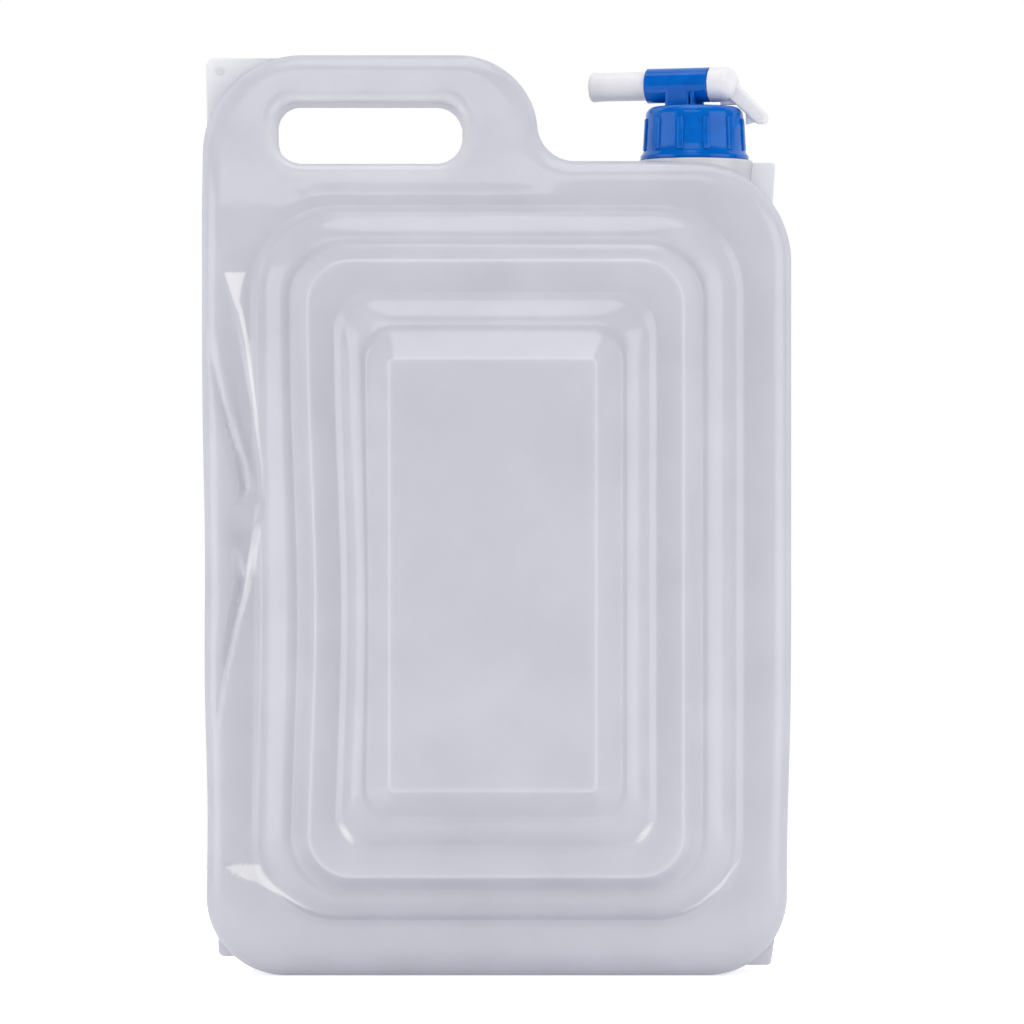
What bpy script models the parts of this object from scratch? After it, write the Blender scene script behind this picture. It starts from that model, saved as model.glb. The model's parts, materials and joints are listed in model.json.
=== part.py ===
"""Collapsible water carrier: a blow-moulded bottle whose stepped front and rear fold flat, with a screw
cap that carries a tap. Metres, +Z up, front towards -Y, origin on the floor under the bottle's middle."""

import math

import bmesh
import bpy
from mathutils import Matrix, Vector

# Driving sizes of the bottle
BODY_WIDTH = 0.309
OVERALL_HEIGHT = 0.4846
HANDLE_RISE = 0.0573
HALF_DEPTH = 0.038
WALL = 0.0015
GAP = 0.0003
OVERRUN = 0.006

# Outline of the bottle, seen from the front
FLOOR_CORNER = 0.044
SHOULDER_CORNER = 0.042
HANDLE_CORNER = 0.0515
HANDLE_WIDTH_SHARE = 0.434
SWEEP_ROUND = 0.042
SWEEP_HOLLOW = 0.020
RIM_ROUND = 0.012
WAIST = 0.0025

# Hand slot and the thinner handle round it
SLOT_HEIGHT = 0.032
SLOT_SIDE = 0.0386
SLOT_OVERHANG = 0.0025
HANDLE_BAR = 0.027
SLOT_RIM = 0.008
HANDLE_HALF_DEPTH = 0.017
TAPER_DROP = 0.0233
TAPER_NEAR = 0.030
TAPER_FAR = 0.065

# Folding steps, from the band in to the centre panel: how far each ridge lies inside the one before it
FOLD_SIDE = 0.0255
FOLD_BELOW = 0.0271
FOLD_ABOVE = 0.0242
FOLD_CORNER = 0.045
STEP_SIDE = 0.0314
STEP_BELOW = 0.0272
STEP_ABOVE = 0.0296
STEP_CORNER = 0.023
STEP_DEPTH = 0.066
VALLEY_SIDE = 0.0142
VALLEY_BELOW = 0.0121
VALLEY_ABOVE = 0.0163
VALLEY_CORNER = 0.020
PANEL_SIDE = 0.0300
PANEL_BELOW = 0.0338
PANEL_ABOVE = 0.0350
PANEL_CORNER = 0.006
PANEL_DEPTH = 0.093
OUTER_CREASE_SHARE = 0.70
INNER_CREASE_SHARE = 0.58
CREASE_RISE_SHARE = 0.42
EDGE_ROUND = 0.002
EDGE_SHARES = ((1.0, 1.5), (0.35, 0.35), (-1.0, 0.0))
FOLD_LIP = 0.002

# Corner ears on the parting line
EAR_THICKNESS = 0.002
EAR_BACK = 0.00042
EAR_ROUND = 0.0044
EAR_SIDE_INSET = 0.007
EAR_FLOOR_LIFT = 0.003
EAR_ROUND_STEPS = 3

# Neck under the cap
NECK_SIDE = 0.0498
NECK_RADIUS = 0.02275
NECK_BORE_RADIUS = 0.01975
NECK_HEIGHT = 0.0245
COLLAR_RADIUS = 0.0307
COLLAR_RISE = 0.0016

# Screw cap
CAP_RADIUS = 0.02645
CAP_BORE_RADIUS = 0.0248
CAP_TOP_THICKNESS = 0.003
CAP_EDGE_ROUND = 0.004
CAP_FLANGE_RADIUS = 0.0287
CAP_FLANGE_HEIGHT = 0.0030
CAP_RIBS = 12
CAP_RIB_RISE = 0.0008
CAP_RIB_WIDTH = 0.0024
CAP_RIB_LENGTH = 0.0168
CAP_RIB_BEVEL = 0.0005
GASKET_THICKNESS = 0.002
GASKET_RADIUS = 0.0240

# Tap barrel on its off-centre stem, turned a little towards the front
TAP_TURN = math.radians(17)
BARREL_RADIUS = 0.0092
BARREL_BORE_RADIUS = 0.0081
BARREL_LENGTH = 0.0342
BARREL_LIFT = 0.0026
BARREL_CAP_INSET = 0.01795
STEM_RADIUS = 0.0068
STEM_OFFSET = 0.0076
STEM_WEB = 0.0024
STEM_WEB_LENGTH = 0.0090
STEM_WEB_SINK = 0.0018
PORT_RADIUS = 0.0036

# Turning plug: spout, rotor, head and lever wing
SPOUT_RADIUS = 0.0077
SPOUT_TIP_RADIUS = 0.0080
SPOUT_BORE_RADIUS = 0.0052
SPOUT_LENGTH = 0.0311
SPOUT_ROUND = 0.0026
SPOUT_ROUND_SHARE = 0.3
HEAD_LENGTH = 0.0148
HEAD_ROUND = 0.0070
WING_THICKNESS = 0.0024
WING_RIM = 0.0048
WING_RIM_WIDTH = 0.0070
WING_REACH = 0.0237
WING_DROP = 0.0215
WING_ARCH = 0.0012
WING_ROOT = 0.0046
WING_RIM_ROOT = 0.0009
WING_START = 0.0021
WING_SLOPE_REACH = 0.0055
WING_TIP_SHARES = (0.2, 0.3)
WING_CLEARANCE = 0.0009

# Facets
CORNER_STEPS = 6
SLOT_STEPS = 8
RIM_STEPS = 3
TAPER_STEPS = 3
FOLD_STEPS = 4
TURN_STEPS = 48
SMALL_TURN_STEPS = 32
FINE_TURN_STEPS = 16

AXIS_X, AXIS_Y, AXIS_Z = Vector((1, 0, 0)), Vector((0, 1, 0)), Vector((0, 0, 1))

# Places worked out from the driving sizes
HALF_WIDTH = BODY_WIDTH / 2
SHOULDER_HEIGHT = OVERALL_HEIGHT - HANDLE_RISE
HANDLE_END_X = BODY_WIDTH * HANDLE_WIDTH_SHARE - HALF_WIDTH
SLOT_LEFT_X = SLOT_SIDE - HALF_WIDTH
SLOT_RIGHT_X = HANDLE_END_X + SLOT_OVERHANG
SLOT_CENTRE_Z = OVERALL_HEIGHT - HANDLE_BAR - SLOT_HEIGHT / 2
NECK_X = HALF_WIDTH - NECK_SIDE
NECK_TOP_Z = SHOULDER_HEIGHT + NECK_HEIGHT
GASKET_Z = NECK_TOP_Z + GAP
CAP_UNDER_Z = GASKET_Z + GASKET_THICKNESS + GAP
CAP_TOP_Z = CAP_UNDER_Z + CAP_TOP_THICKNESS
CAP_FOOT_Z = SHOULDER_HEIGHT + COLLAR_RISE + GAP
BARREL_AXIS_Z = CAP_TOP_Z + BARREL_LIFT + BARREL_RADIUS
BARREL_OFFSET = BARREL_LENGTH / 2 - (CAP_RADIUS - BARREL_CAP_INSET)
ROTOR_RADIUS = BARREL_BORE_RADIUS - GAP


def ridge_within(ridge, side, below, above, corner, depth):
    """A ridge or valley of the folding steps inside another: a rounded rectangle at its own depth."""
    low = ridge["mid_z"] - ridge["half_h"] + below
    high = ridge["mid_z"] + ridge["half_h"] - above
    return dict(
        half_w=ridge["half_w"] - side,
        half_h=(high - low) / 2,
        corner=corner,
        mid_z=(high + low) / 2,
        depth=depth,
    )


BAND = dict(
    half_w=HALF_WIDTH,
    half_h=SHOULDER_HEIGHT / 2,
    corner=SHOULDER_CORNER,
    mid_z=SHOULDER_HEIGHT / 2,
    depth=HALF_DEPTH,
)
BAND_EDGE = ridge_within(BAND, FOLD_SIDE, FOLD_BELOW, FOLD_ABOVE, FOLD_CORNER, HALF_DEPTH)
STEP_EDGE = ridge_within(BAND_EDGE, STEP_SIDE, STEP_BELOW, STEP_ABOVE, STEP_CORNER, STEP_DEPTH)
STEP_VALLEY = ridge_within(STEP_EDGE, VALLEY_SIDE, VALLEY_BELOW, VALLEY_ABOVE, VALLEY_CORNER, STEP_DEPTH)
PANEL_EDGE = ridge_within(STEP_VALLEY, PANEL_SIDE, PANEL_BELOW, PANEL_ABOVE, PANEL_CORNER, PANEL_DEPTH)


def clear_scene():
    for obj in list(bpy.data.objects):
        bpy.data.objects.remove(obj, do_unlink=True)


def plastic(name, colour, roughness, alpha=1.0):
    """A plain moulded plastic."""
    material = bpy.data.materials.new(name)
    material.use_nodes = True
    shader = material.node_tree.nodes["Principled BSDF"]
    shader.inputs["Base Color"].default_value = (*colour, 1.0)
    shader.inputs["Roughness"].default_value = roughness
    shader.inputs["Metallic"].default_value = 0.0
    shader.inputs["Alpha"].default_value = alpha
    return material


def add_object(name, bm, material=None):
    """Puts a bmesh into the scene as an object, smooth but for its creases."""
    bm.normal_update()
    bmesh.ops.recalc_face_normals(bm, faces=bm.faces)
    mesh = bpy.data.meshes.new(name)
    bm.to_mesh(mesh)
    bm.free()
    mesh.shade_smooth()
    mesh.set_sharp_from_angle(angle=math.radians(35))
    obj = bpy.data.objects.new(name, mesh)
    bpy.context.collection.objects.link(obj)
    if material:
        mesh.materials.append(material)
    return obj


def add_helper(name, bm):
    """A shape that only joins or cuts another, so it isn't a piece of the carrier."""
    obj = add_object(name, bm)
    obj.hide_render = True
    obj.display_type = "WIRE"
    return obj


def combine(obj, helper, operation):
    modifier = obj.modifiers.new(helper.name, "BOOLEAN")
    modifier.operation = operation
    modifier.solver = "EXACT"
    modifier.object = helper


def arc(centre_x, centre_z, radius, start, end, steps, hollow=False):
    """Points of an arc in the XZ plane, each with the way out of the body there. Angles are in degrees."""
    points = []
    for step in range(steps + 1):
        angle = math.radians(start + (end - start) * step / steps)
        out = Vector((math.cos(angle), 0, math.sin(angle)))
        points.append((Vector((centre_x, 0, centre_z)) + out * radius, -out if hollow else out))
    return points


def bottle_outline():
    """The bottle from the front, anticlockwise from the lower left: (point, outward direction) pairs."""
    sweep_x = HANDLE_END_X
    sweep_z = OVERALL_HEIGHT - SWEEP_ROUND
    hollow_z = SHOULDER_HEIGHT + SWEEP_HOLLOW
    reach = SWEEP_ROUND + SWEEP_HOLLOW
    hollow_x = sweep_x + math.sqrt(reach**2 - (hollow_z - sweep_z) ** 2)
    lean = math.degrees(math.atan2(hollow_z - sweep_z, hollow_x - sweep_x))
    left, right = -HALF_WIDTH, HALF_WIDTH
    outline = arc(left + FLOOR_CORNER, FLOOR_CORNER, FLOOR_CORNER, 180, 270, CORNER_STEPS)
    outline += arc(right - FLOOR_CORNER, FLOOR_CORNER, FLOOR_CORNER, 270, 360, CORNER_STEPS)
    shoulder_z = SHOULDER_HEIGHT - SHOULDER_CORNER
    outline += arc(right - SHOULDER_CORNER, shoulder_z, SHOULDER_CORNER, 0, 90, CORNER_STEPS)
    outline += arc(hollow_x, hollow_z, SWEEP_HOLLOW, 270, 180 + lean, CORNER_STEPS, hollow=True)
    outline += arc(sweep_x, sweep_z, SWEEP_ROUND, lean, 90, CORNER_STEPS + 1)[1:]
    handle_z = OVERALL_HEIGHT - HANDLE_CORNER
    outline += arc(left + HANDLE_CORNER, handle_z, HANDLE_CORNER, 90, 180, CORNER_STEPS)
    for step in range(TAPER_STEPS + 1):
        z = handle_z + (SHOULDER_HEIGHT - TAPER_DROP - handle_z) * (step + 1) / (TAPER_STEPS + 1)
        outline.append((Vector((left, 0, z)), -AXIS_X))
    return outline


def slot_outline():
    """The hand slot from the front, with directions into the plastic round it."""
    radius = SLOT_HEIGHT / 2
    points = arc(SLOT_RIGHT_X - radius, SLOT_CENTRE_Z, radius, -90, 90, SLOT_STEPS)
    points += arc(SLOT_LEFT_X + radius, SLOT_CENTRE_Z, radius, 90, 270, SLOT_STEPS)
    return points


def smooth_share(value, start, end):
    share = min(max((value - start) / (end - start), 0.0), 1.0)
    return share * share * (3 - 2 * share)


def depth_at(x, z):
    """Half depth of the band: full over the body and the neck, thinner towards the top of the handle."""
    rise = smooth_share(z, SHOULDER_HEIGHT - TAPER_DROP, OVERALL_HEIGHT)
    beside = 1 - smooth_share(x, HANDLE_END_X + TAPER_NEAR, HANDLE_END_X + TAPER_FAR)
    return HALF_DEPTH - (HALF_DEPTH - HANDLE_HALF_DEPTH) * rise * beside


def rim_sections(radius, waist):
    """From the parting line to the face: (inset, share of the way to the rounding, depth left to go)."""
    sections = [(waist, 0.0, radius), (0.0, 1.0, radius)]
    for step in range(1, RIM_STEPS + 1):
        angle = math.radians(90) * step / RIM_STEPS
        sections.append((radius - radius * math.cos(angle), 1.0, radius - radius * math.sin(angle)))
    return sections


def rim_loops(bm, outline, radius, waist, inward):
    """Loops of vertices that roll from the parting line at Y 0 over the rim to the front face."""
    loops = []
    for inset, share, short in rim_sections(radius, waist):
        loop = []
        for point, out in outline:
            pulled = inset * out.x**2 if share == 0.0 else inset
            place = point + out * (-pulled if inward else pulled)
            depth = max((depth_at(place.x, place.z) - short) * share, GAP / 2)
            loop.append(bm.verts.new((place.x, -depth, place.z)))
        loops.append(loop)
    return loops


def join_loops(bm, first, second):
    """Quads between two closed loops of the same number of vertices."""
    count = len(first)
    for i in range(count):
        j = (i + 1) % count
        bm.faces.new((first[i], first[j], second[j], second[i]))


def loop_edges(bm, loop):
    count = len(loop)
    edges = []
    for i in range(count):
        pair = (loop[i], loop[(i + 1) % count])
        edges.append(bm.edges.get(pair) or bm.edges.new(pair))
    return edges


def ridge_loop(ridge):
    """Points of a rounded rectangle at the ridge's own depth, on the front side."""
    right, top = ridge["half_w"] - ridge["corner"], ridge["half_h"] - ridge["corner"]
    points = []
    for quarter, (side, level) in enumerate(((1, 1), (-1, 1), (-1, -1), (1, -1))):
        turn = 90 * quarter
        middle = (side * right, ridge["mid_z"] + level * top)
        corner = arc(*middle, ridge["corner"], turn, turn + 90, CORNER_STEPS)
        points += [Vector((p.x, -ridge["depth"], p.z)) for p, out in corner]
    return points


def between(outer, inner, across, up):
    """A ridge between two ridges: across is the share of the way inwards, up the share of the rise."""
    ridge = {key: outer[key] + (inner[key] - outer[key]) * across for key in outer}
    ridge["depth"] = outer["depth"] + (inner["depth"] - outer["depth"]) * up
    return ridge


def moved(ridge, outwards, forwards):
    """The same ridge let out sideways and moved towards the front."""
    ridge = dict(ridge)
    ridge["half_w"] += outwards
    ridge["half_h"] += outwards
    ridge["corner"] = max(ridge["corner"] + outwards, WALL)
    ridge["depth"] += forwards
    return ridge


def shoulder_ridges(outer, inner, crease_share):
    """The rounded shoulder that rises from a flat to the crease."""
    ridges = []
    for step in range(FOLD_STEPS + 1):
        angle = math.radians(90) * step / FOLD_STEPS
        across = crease_share * (1 - math.cos(angle))
        ridges.append(between(outer, inner, across, CREASE_RISE_SHARE * math.sin(angle)))
    return ridges


def riser_ridges(outer, inner, crease_share):
    """The hooked skirt under the shoulder's lip, and the steep riser from the crease to the rounded edge."""
    crease = between(outer, inner, crease_share, CREASE_RISE_SHARE)
    under = -(WALL + GAP)
    ridges = [moved(crease, FOLD_LIP, under), moved(crease, -GAP, under), moved(crease, -GAP, 0.0)]
    for outwards, behind in EDGE_SHARES:
        ridges.append(moved(inner, EDGE_ROUND * outwards, -EDGE_ROUND * behind))
    return ridges


def thin_side(ridges):
    """The ridges of the inner face of a wall, one wall thickness behind the given ones."""
    points = [Vector((r["half_w"], r["depth"])) for r in ridges]
    ways = [(b - a).normalized() for a, b in zip(points, points[1:])]
    inner = []
    for i, ridge in enumerate(ridges):
        before = ways[max(i - 1, 0)]
        after = ways[min(i, len(ways) - 1)]
        normals = Vector((before.y, -before.x)), Vector((after.y, -after.x))
        middle = (normals[0] + normals[1]).normalized()
        reach = WALL / max(middle.dot(normals[0]), 0.5)
        inner.append(moved(ridge, -middle.x * reach, -middle.y * reach))
    return inner


def ridge_vertices(bm, ridge):
    return [bm.verts.new(point) for point in ridge_loop(ridge)]


def fold_ring(name, material, rear):
    """One telescoping ring: riser, flat step and the shoulder of the next riser, as a thin closed wall."""
    bm = bmesh.new()
    outer = riser_ridges(BAND_EDGE, STEP_EDGE, OUTER_CREASE_SHARE)
    outer += shoulder_ridges(STEP_VALLEY, PANEL_EDGE, INNER_CREASE_SHARE)
    loops = [ridge_vertices(bm, ridge) for ridge in outer + thin_side(outer)[::-1]]
    for first, second in zip(loops, loops[1:] + loops[:1]):
        join_loops(bm, first, second)
    return face_rear(add_object(name, bm, material), rear)


def centre_panel(name, material, rear):
    """The innermost dish: its riser and its flat centre, with a thin wall."""
    bm = bmesh.new()
    outer = riser_ridges(STEP_VALLEY, PANEL_EDGE, INNER_CREASE_SHARE)
    loops = [ridge_vertices(bm, ridge) for ridge in outer + thin_side(outer)[::-1]]
    middle = len(outer)
    for i, (first, second) in enumerate(zip(loops, loops[1:] + loops[:1]), start=1):
        if i != middle:
            join_loops(bm, first, second)
    bm.faces.new(loops[middle - 1])
    bm.faces.new(loops[middle])
    return face_rear(add_object(name, bm, material), rear)


def face_rear(obj, rear):
    """Turns a front piece into the rear one, which is its mirror image."""
    if rear:
        obj.data.transform(Matrix.Scale(-1, 4, AXIS_Y))
        obj.data.flip_normals()
    return obj


def turned(profile, steps, axis=AXIS_Z, closed=False):
    """A turned solid about an axis through the origin. Profile points are (radius, height)."""
    bm = bmesh.new()
    across = AXIS_X if axis == AXIS_Z else AXIS_Z
    verts = [bm.verts.new(across * radius + axis * height) for radius, height in profile]
    pairs = list(zip(verts, verts[1:]))
    if closed:
        pairs.append((verts[-1], verts[0]))
    edges = [bm.edges.new(pair) for pair in pairs]
    bmesh.ops.spin(
        bm,
        geom=verts + edges,
        cent=(0, 0, 0),
        axis=axis,
        angle=math.radians(360),
        steps=steps,
        use_merge=True,
        use_duplicate=False,
    )
    bmesh.ops.remove_doubles(bm, verts=bm.verts, dist=WALL / 1000)
    return bm


def round_bar(radius, length, steps):
    """A cylinder along Z from the origin up."""
    bm = bmesh.new()
    bmesh.ops.create_cone(bm, cap_ends=True, segments=steps, radius1=radius, radius2=radius, depth=length)
    bmesh.ops.translate(bm, vec=AXIS_Z * length / 2, verts=bm.verts)
    return bm


def plate(points, front, thickness):
    """A flat plate in the XZ plane from its outline, with its front at the given Y."""
    bm = bmesh.new()
    verts = [bm.verts.new((x, front, z)) for x, z in points]
    face = bm.faces.new(verts)
    grown = bmesh.ops.extrude_face_region(bm, geom=[face])
    lifted = [item for item in grown["geom"] if isinstance(item, bmesh.types.BMVert)]
    bmesh.ops.translate(bm, vec=AXIS_Y * thickness, verts=lifted)
    return bm


def ear_points(corner_x, corner_z, outline_part, rounding):
    """An ear: the stretch of the bottle's outline that it grows from, and its own rounded corner."""
    inner = []
    for point, out in outline_part[1:-1]:
        sunk = point - out * (WAIST * out.x**2 + WALL / 2)
        inner.append((sunk.x, sunk.z))
    side = 1 if corner_x > 0 else -1
    level = 1 if corner_z > SHOULDER_HEIGHT / 2 else -1
    start = {(1, 1): 0, (-1, 1): 90, (-1, -1): 180, (1, -1): 270}[(side, level)]
    middle = (corner_x - side * rounding, corner_z - level * rounding)
    corner = arc(*middle, rounding, start, start + 90, EAR_ROUND_STEPS)
    corner = [(point.x, point.z) for point, out in corner]
    return inner + corner[::-1]


def front_ears():
    """The front halves of the four flat webs that fill the rounded corners at the parting line."""
    outline = bottle_outline()
    step = CORNER_STEPS + 1
    lower_left, lower_right = outline[:step], outline[step : 2 * step]
    upper_right = outline[2 * step : 3 * step]
    handle_start = len(outline) - TAPER_STEPS - 1 - step
    upper_left = outline[handle_start : handle_start + step]
    side = HALF_WIDTH - EAR_SIDE_INSET
    made = bmesh.new()
    corners = (
        (-side, EAR_FLOOR_LIFT, lower_left),
        (side, EAR_FLOOR_LIFT, lower_right),
        (side, SHOULDER_HEIGHT, upper_right),
        (-HALF_WIDTH, OVERALL_HEIGHT, upper_left),
    )
    for corner_x, corner_z, part in corners:
        points = ear_points(corner_x, corner_z, part, EAR_ROUND)
        ear = plate(points, -EAR_THICKNESS / 2, EAR_THICKNESS / 2 - EAR_BACK)
        mesh = bpy.data.meshes.new("ear")
        ear.to_mesh(mesh)
        ear.free()
        made.from_mesh(mesh)
        bpy.data.meshes.remove(mesh)
    return made


def half_band(name, material, rear):
    """Half of the hollow band: rim, face, shoulder of the first fold, half the hand slot, half the ears."""
    bm = bmesh.new()
    rim = rim_loops(bm, bottle_outline(), RIM_ROUND, WAIST, inward=True)
    slot = rim_loops(bm, slot_outline(), SLOT_RIM, 0.0, inward=False)
    shoulder = shoulder_ridges(BAND_EDGE, STEP_EDGE, OUTER_CREASE_SHARE)
    fold = [ridge_vertices(bm, ridge) for ridge in shoulder]
    for loops in (rim, slot, fold):
        for first, second in zip(loops, loops[1:]):
            join_loops(bm, first, second)
    edges = loop_edges(bm, rim[-1]) + loop_edges(bm, slot[-1]) + loop_edges(bm, fold[0])
    bmesh.ops.triangle_fill(bm, use_beauty=True, use_dissolve=False, edges=edges, normal=-AXIS_Y)
    band = add_object(name, bm, material)
    ears = add_helper(name + "_ears", front_ears())
    bore = add_helper(name + "_bore", neck_bore())
    for obj in (band, ears):
        face_rear(obj, rear)
    shell = band.modifiers.new("wall", "SOLIDIFY")
    shell.thickness = WALL
    shell.offset = -1.0
    shell.use_even_offset = True
    combine(band, ears, "UNION")
    combine(band, bore, "DIFFERENCE")
    return band


def neck_bore():
    length = WALL + OVERRUN * 2
    bm = round_bar(NECK_BORE_RADIUS, length, TURN_STEPS)
    low = Vector((NECK_X, 0, SHOULDER_HEIGHT - WALL - OVERRUN))
    bmesh.ops.translate(bm, vec=low, verts=bm.verts)
    return bm


def neck(material):
    """The neck with its collar, on the band's shoulder."""
    rise = NECK_TOP_Z - SHOULDER_HEIGHT
    profile = [(NECK_BORE_RADIUS, GAP), (COLLAR_RADIUS, GAP), (COLLAR_RADIUS, COLLAR_RISE)]
    profile += [(NECK_RADIUS, COLLAR_RISE), (NECK_RADIUS, rise), (NECK_BORE_RADIUS, rise)]
    obj = add_object("neck", turned(profile, TURN_STEPS, closed=True), material)
    obj.location = (NECK_X, 0, SHOULDER_HEIGHT)
    return obj


def cap_gasket(material):
    """The flat washer between the neck's lip and the cap."""
    inner, outer, top = NECK_BORE_RADIUS, GASKET_RADIUS, GASKET_THICKNESS
    profile = [(outer, 0.0), (outer, top), (inner, top), (inner, 0.0)]
    obj = add_object("cap_gasket", turned(profile, TURN_STEPS, closed=True), material)
    obj.location = (NECK_X, 0, GASKET_Z)
    return obj


def cap_profile():
    """Half section of the cap from the middle of its underside round the skirt to the middle of its top."""
    top, under, foot = CAP_TOP_Z, CAP_UNDER_Z, CAP_FOOT_Z
    flange = foot + CAP_FLANGE_HEIGHT
    profile = [(0, under), (CAP_BORE_RADIUS, under), (CAP_BORE_RADIUS, foot)]
    profile += [(CAP_FLANGE_RADIUS, foot), (CAP_FLANGE_RADIUS, flange), (CAP_RADIUS, flange)]
    for step in range(RIM_STEPS + 1):
        angle = math.radians(90) * step / RIM_STEPS
        reach = CAP_RADIUS - CAP_EDGE_ROUND + CAP_EDGE_ROUND * math.cos(angle)
        profile.append((reach, top - CAP_EDGE_ROUND + CAP_EDGE_ROUND * math.sin(angle)))
    profile.append((0, top))
    return [(radius, height - foot) for radius, height in profile]


def cap_ribs():
    """Finger ribs round the cap's skirt."""
    bm = bmesh.new()
    low = CAP_FLANGE_HEIGHT + CAP_RIB_RISE
    for rib in range(CAP_RIBS):
        angle = math.radians(360) * (rib + 0.5) / CAP_RIBS
        made = bmesh.ops.create_cube(bm, size=1.0)["verts"]
        deep = CAP_RIB_RISE + CAP_RADIUS - CAP_BORE_RADIUS
        scale = Vector((deep, CAP_RIB_WIDTH, CAP_RIB_LENGTH))
        bmesh.ops.scale(bm, vec=scale, verts=made)
        reach = CAP_RADIUS + CAP_RIB_RISE - deep / 2
        bmesh.ops.translate(bm, vec=(reach, 0, low + CAP_RIB_LENGTH / 2), verts=made)
        bmesh.ops.rotate(bm, cent=(0, 0, 0), matrix=Matrix.Rotation(angle, 3, "Z"), verts=made)
        outer = [v for v in made if v.co.xy.length > CAP_RADIUS]
        edges = {e for v in outer for e in v.link_edges if e.other_vert(v) in outer}
        bmesh.ops.bevel(
            bm,
            geom=list(edges),
            offset=CAP_RIB_BEVEL,
            segments=1,
            affect="EDGES",
            profile=0.5,
            material=-1,
        )
    return bm


def along_tap(distance, height=0.0):
    """A point on the barrel's line, from the cap's axis towards the lever, in the cap's own frame."""
    way = Vector((math.cos(TAP_TURN), -math.sin(TAP_TURN), 0))
    return way * distance + AXIS_Z * height


def lay_along_tap(bm, start, height):
    """Lays a shape that stands on Z along the barrel's line."""
    turn = Matrix.Rotation(-TAP_TURN, 4, "Z") @ Matrix.Rotation(math.radians(90), 4, "Y")
    bm.transform(Matrix.Translation(along_tap(start, height)) @ turn)
    return bm


def stem_rib(low, high):
    """The rib that stiffens the stem, on the cap's top under the barrel."""
    start = STEM_RADIUS - STEM_OFFSET - WALL
    end = start + STEM_WEB_LENGTH
    rib = plate(((start, low), (end, low), (end, high), (start, high)), -STEM_WEB / 2, STEM_WEB)
    rib.transform(Matrix.Rotation(-TAP_TURN, 4, "Z"))
    return rib


def tap_cap(material):
    """Screw cap, off-centre stem and barrel in one moulding, bored for the plug and the water."""
    cap = add_object("tap_cap", turned(cap_profile(), TURN_STEPS), material)
    axis = BARREL_AXIS_Z - CAP_FOOT_Z
    top = CAP_TOP_Z - CAP_FOOT_Z
    under = CAP_UNDER_Z - CAP_FOOT_Z
    ribs = add_helper("cap_rib_bars", cap_ribs())
    stem = round_bar(STEM_RADIUS, axis - top + WALL, SMALL_TURN_STEPS)
    bmesh.ops.translate(stem, vec=along_tap(-STEM_OFFSET, top - WALL), verts=stem.verts)
    stem = add_helper("tap_stem", stem)
    middle = -BARREL_OFFSET
    start = middle - BARREL_LENGTH / 2
    barrel = lay_along_tap(round_bar(BARREL_RADIUS, BARREL_LENGTH, SMALL_TURN_STEPS), start, axis)
    barrel = add_helper("tap_barrel", barrel)
    web = add_helper("stem_web", stem_rib(top - WALL, axis - BARREL_RADIUS + STEM_WEB_SINK))
    long_bore = round_bar(BARREL_BORE_RADIUS, BARREL_LENGTH + OVERRUN * 2, SMALL_TURN_STEPS)
    bore = add_helper("barrel_bore", lay_along_tap(long_bore, start - OVERRUN, axis))
    channel = round_bar(PORT_RADIUS, axis - under + OVERRUN, FINE_TURN_STEPS)
    bmesh.ops.translate(channel, vec=along_tap(-STEM_OFFSET, under - OVERRUN), verts=channel.verts)
    channel = add_helper("stem_channel", channel)
    for helper, operation in (
        (ribs, "UNION"),
        (stem, "UNION"),
        (web, "UNION"),
        (barrel, "UNION"),
        (bore, "DIFFERENCE"),
        (channel, "DIFFERENCE"),
    ):
        helper.parent = cap
        combine(cap, helper, operation)
    cap.location = (NECK_X, 0, CAP_FOOT_Z)
    return cap


def plug_profile(port):
    """Half section of the plug along its axis, heights from the barrel's spout end towards the lever."""
    tip = -SPOUT_LENGTH
    round_in = SPOUT_ROUND
    head = BARREL_LENGTH + GAP
    end = head + HEAD_LENGTH
    blind = port + PORT_RADIUS + WALL
    profile = [(0, blind), (SPOUT_BORE_RADIUS, blind), (SPOUT_BORE_RADIUS, tip)]
    shallow = round_in * SPOUT_ROUND_SHARE
    profile += [(SPOUT_TIP_RADIUS - round_in, tip), (SPOUT_TIP_RADIUS - shallow, tip + shallow)]
    profile += [(SPOUT_TIP_RADIUS, tip + round_in), (SPOUT_RADIUS, -GAP), (ROTOR_RADIUS, 0.0)]
    profile += [(ROTOR_RADIUS, head), (BARREL_RADIUS, head)]
    for step in range(RIM_STEPS + 1):
        angle = math.radians(90) * step / RIM_STEPS
        reach = BARREL_RADIUS - HEAD_ROUND + HEAD_ROUND * math.cos(angle)
        profile.append((reach, end - HEAD_ROUND + HEAD_ROUND * math.sin(angle)))
    profile.append((0, end))
    return profile


def wing_web(head):
    """The lever's thin web below the head, cut back to clear the cap, in the plane of the barrel's axis."""
    middle = head + HEAD_LENGTH / 2
    cap_edge = BARREL_LENGTH / 2 + BARREL_OFFSET + CAP_RADIUS + CAP_RIB_RISE + WING_CLEARANCE
    cap_top = -BARREL_RADIUS - BARREL_LIFT + WING_CLEARANCE
    tip = middle + WING_REACH - WING_RIM / 2
    return (
        (middle - WING_START, -WING_ROOT),
        (middle - WING_START, cap_top),
        (cap_edge, cap_top),
        (cap_edge, -WING_DROP),
        ((cap_edge + tip) / 2, -WING_DROP + WING_ARCH),
        (tip, -WING_DROP),
        (tip, -WING_DROP + WING_RIM),
        (middle + WING_SLOPE_REACH, -WING_ROOT),
    )


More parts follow.
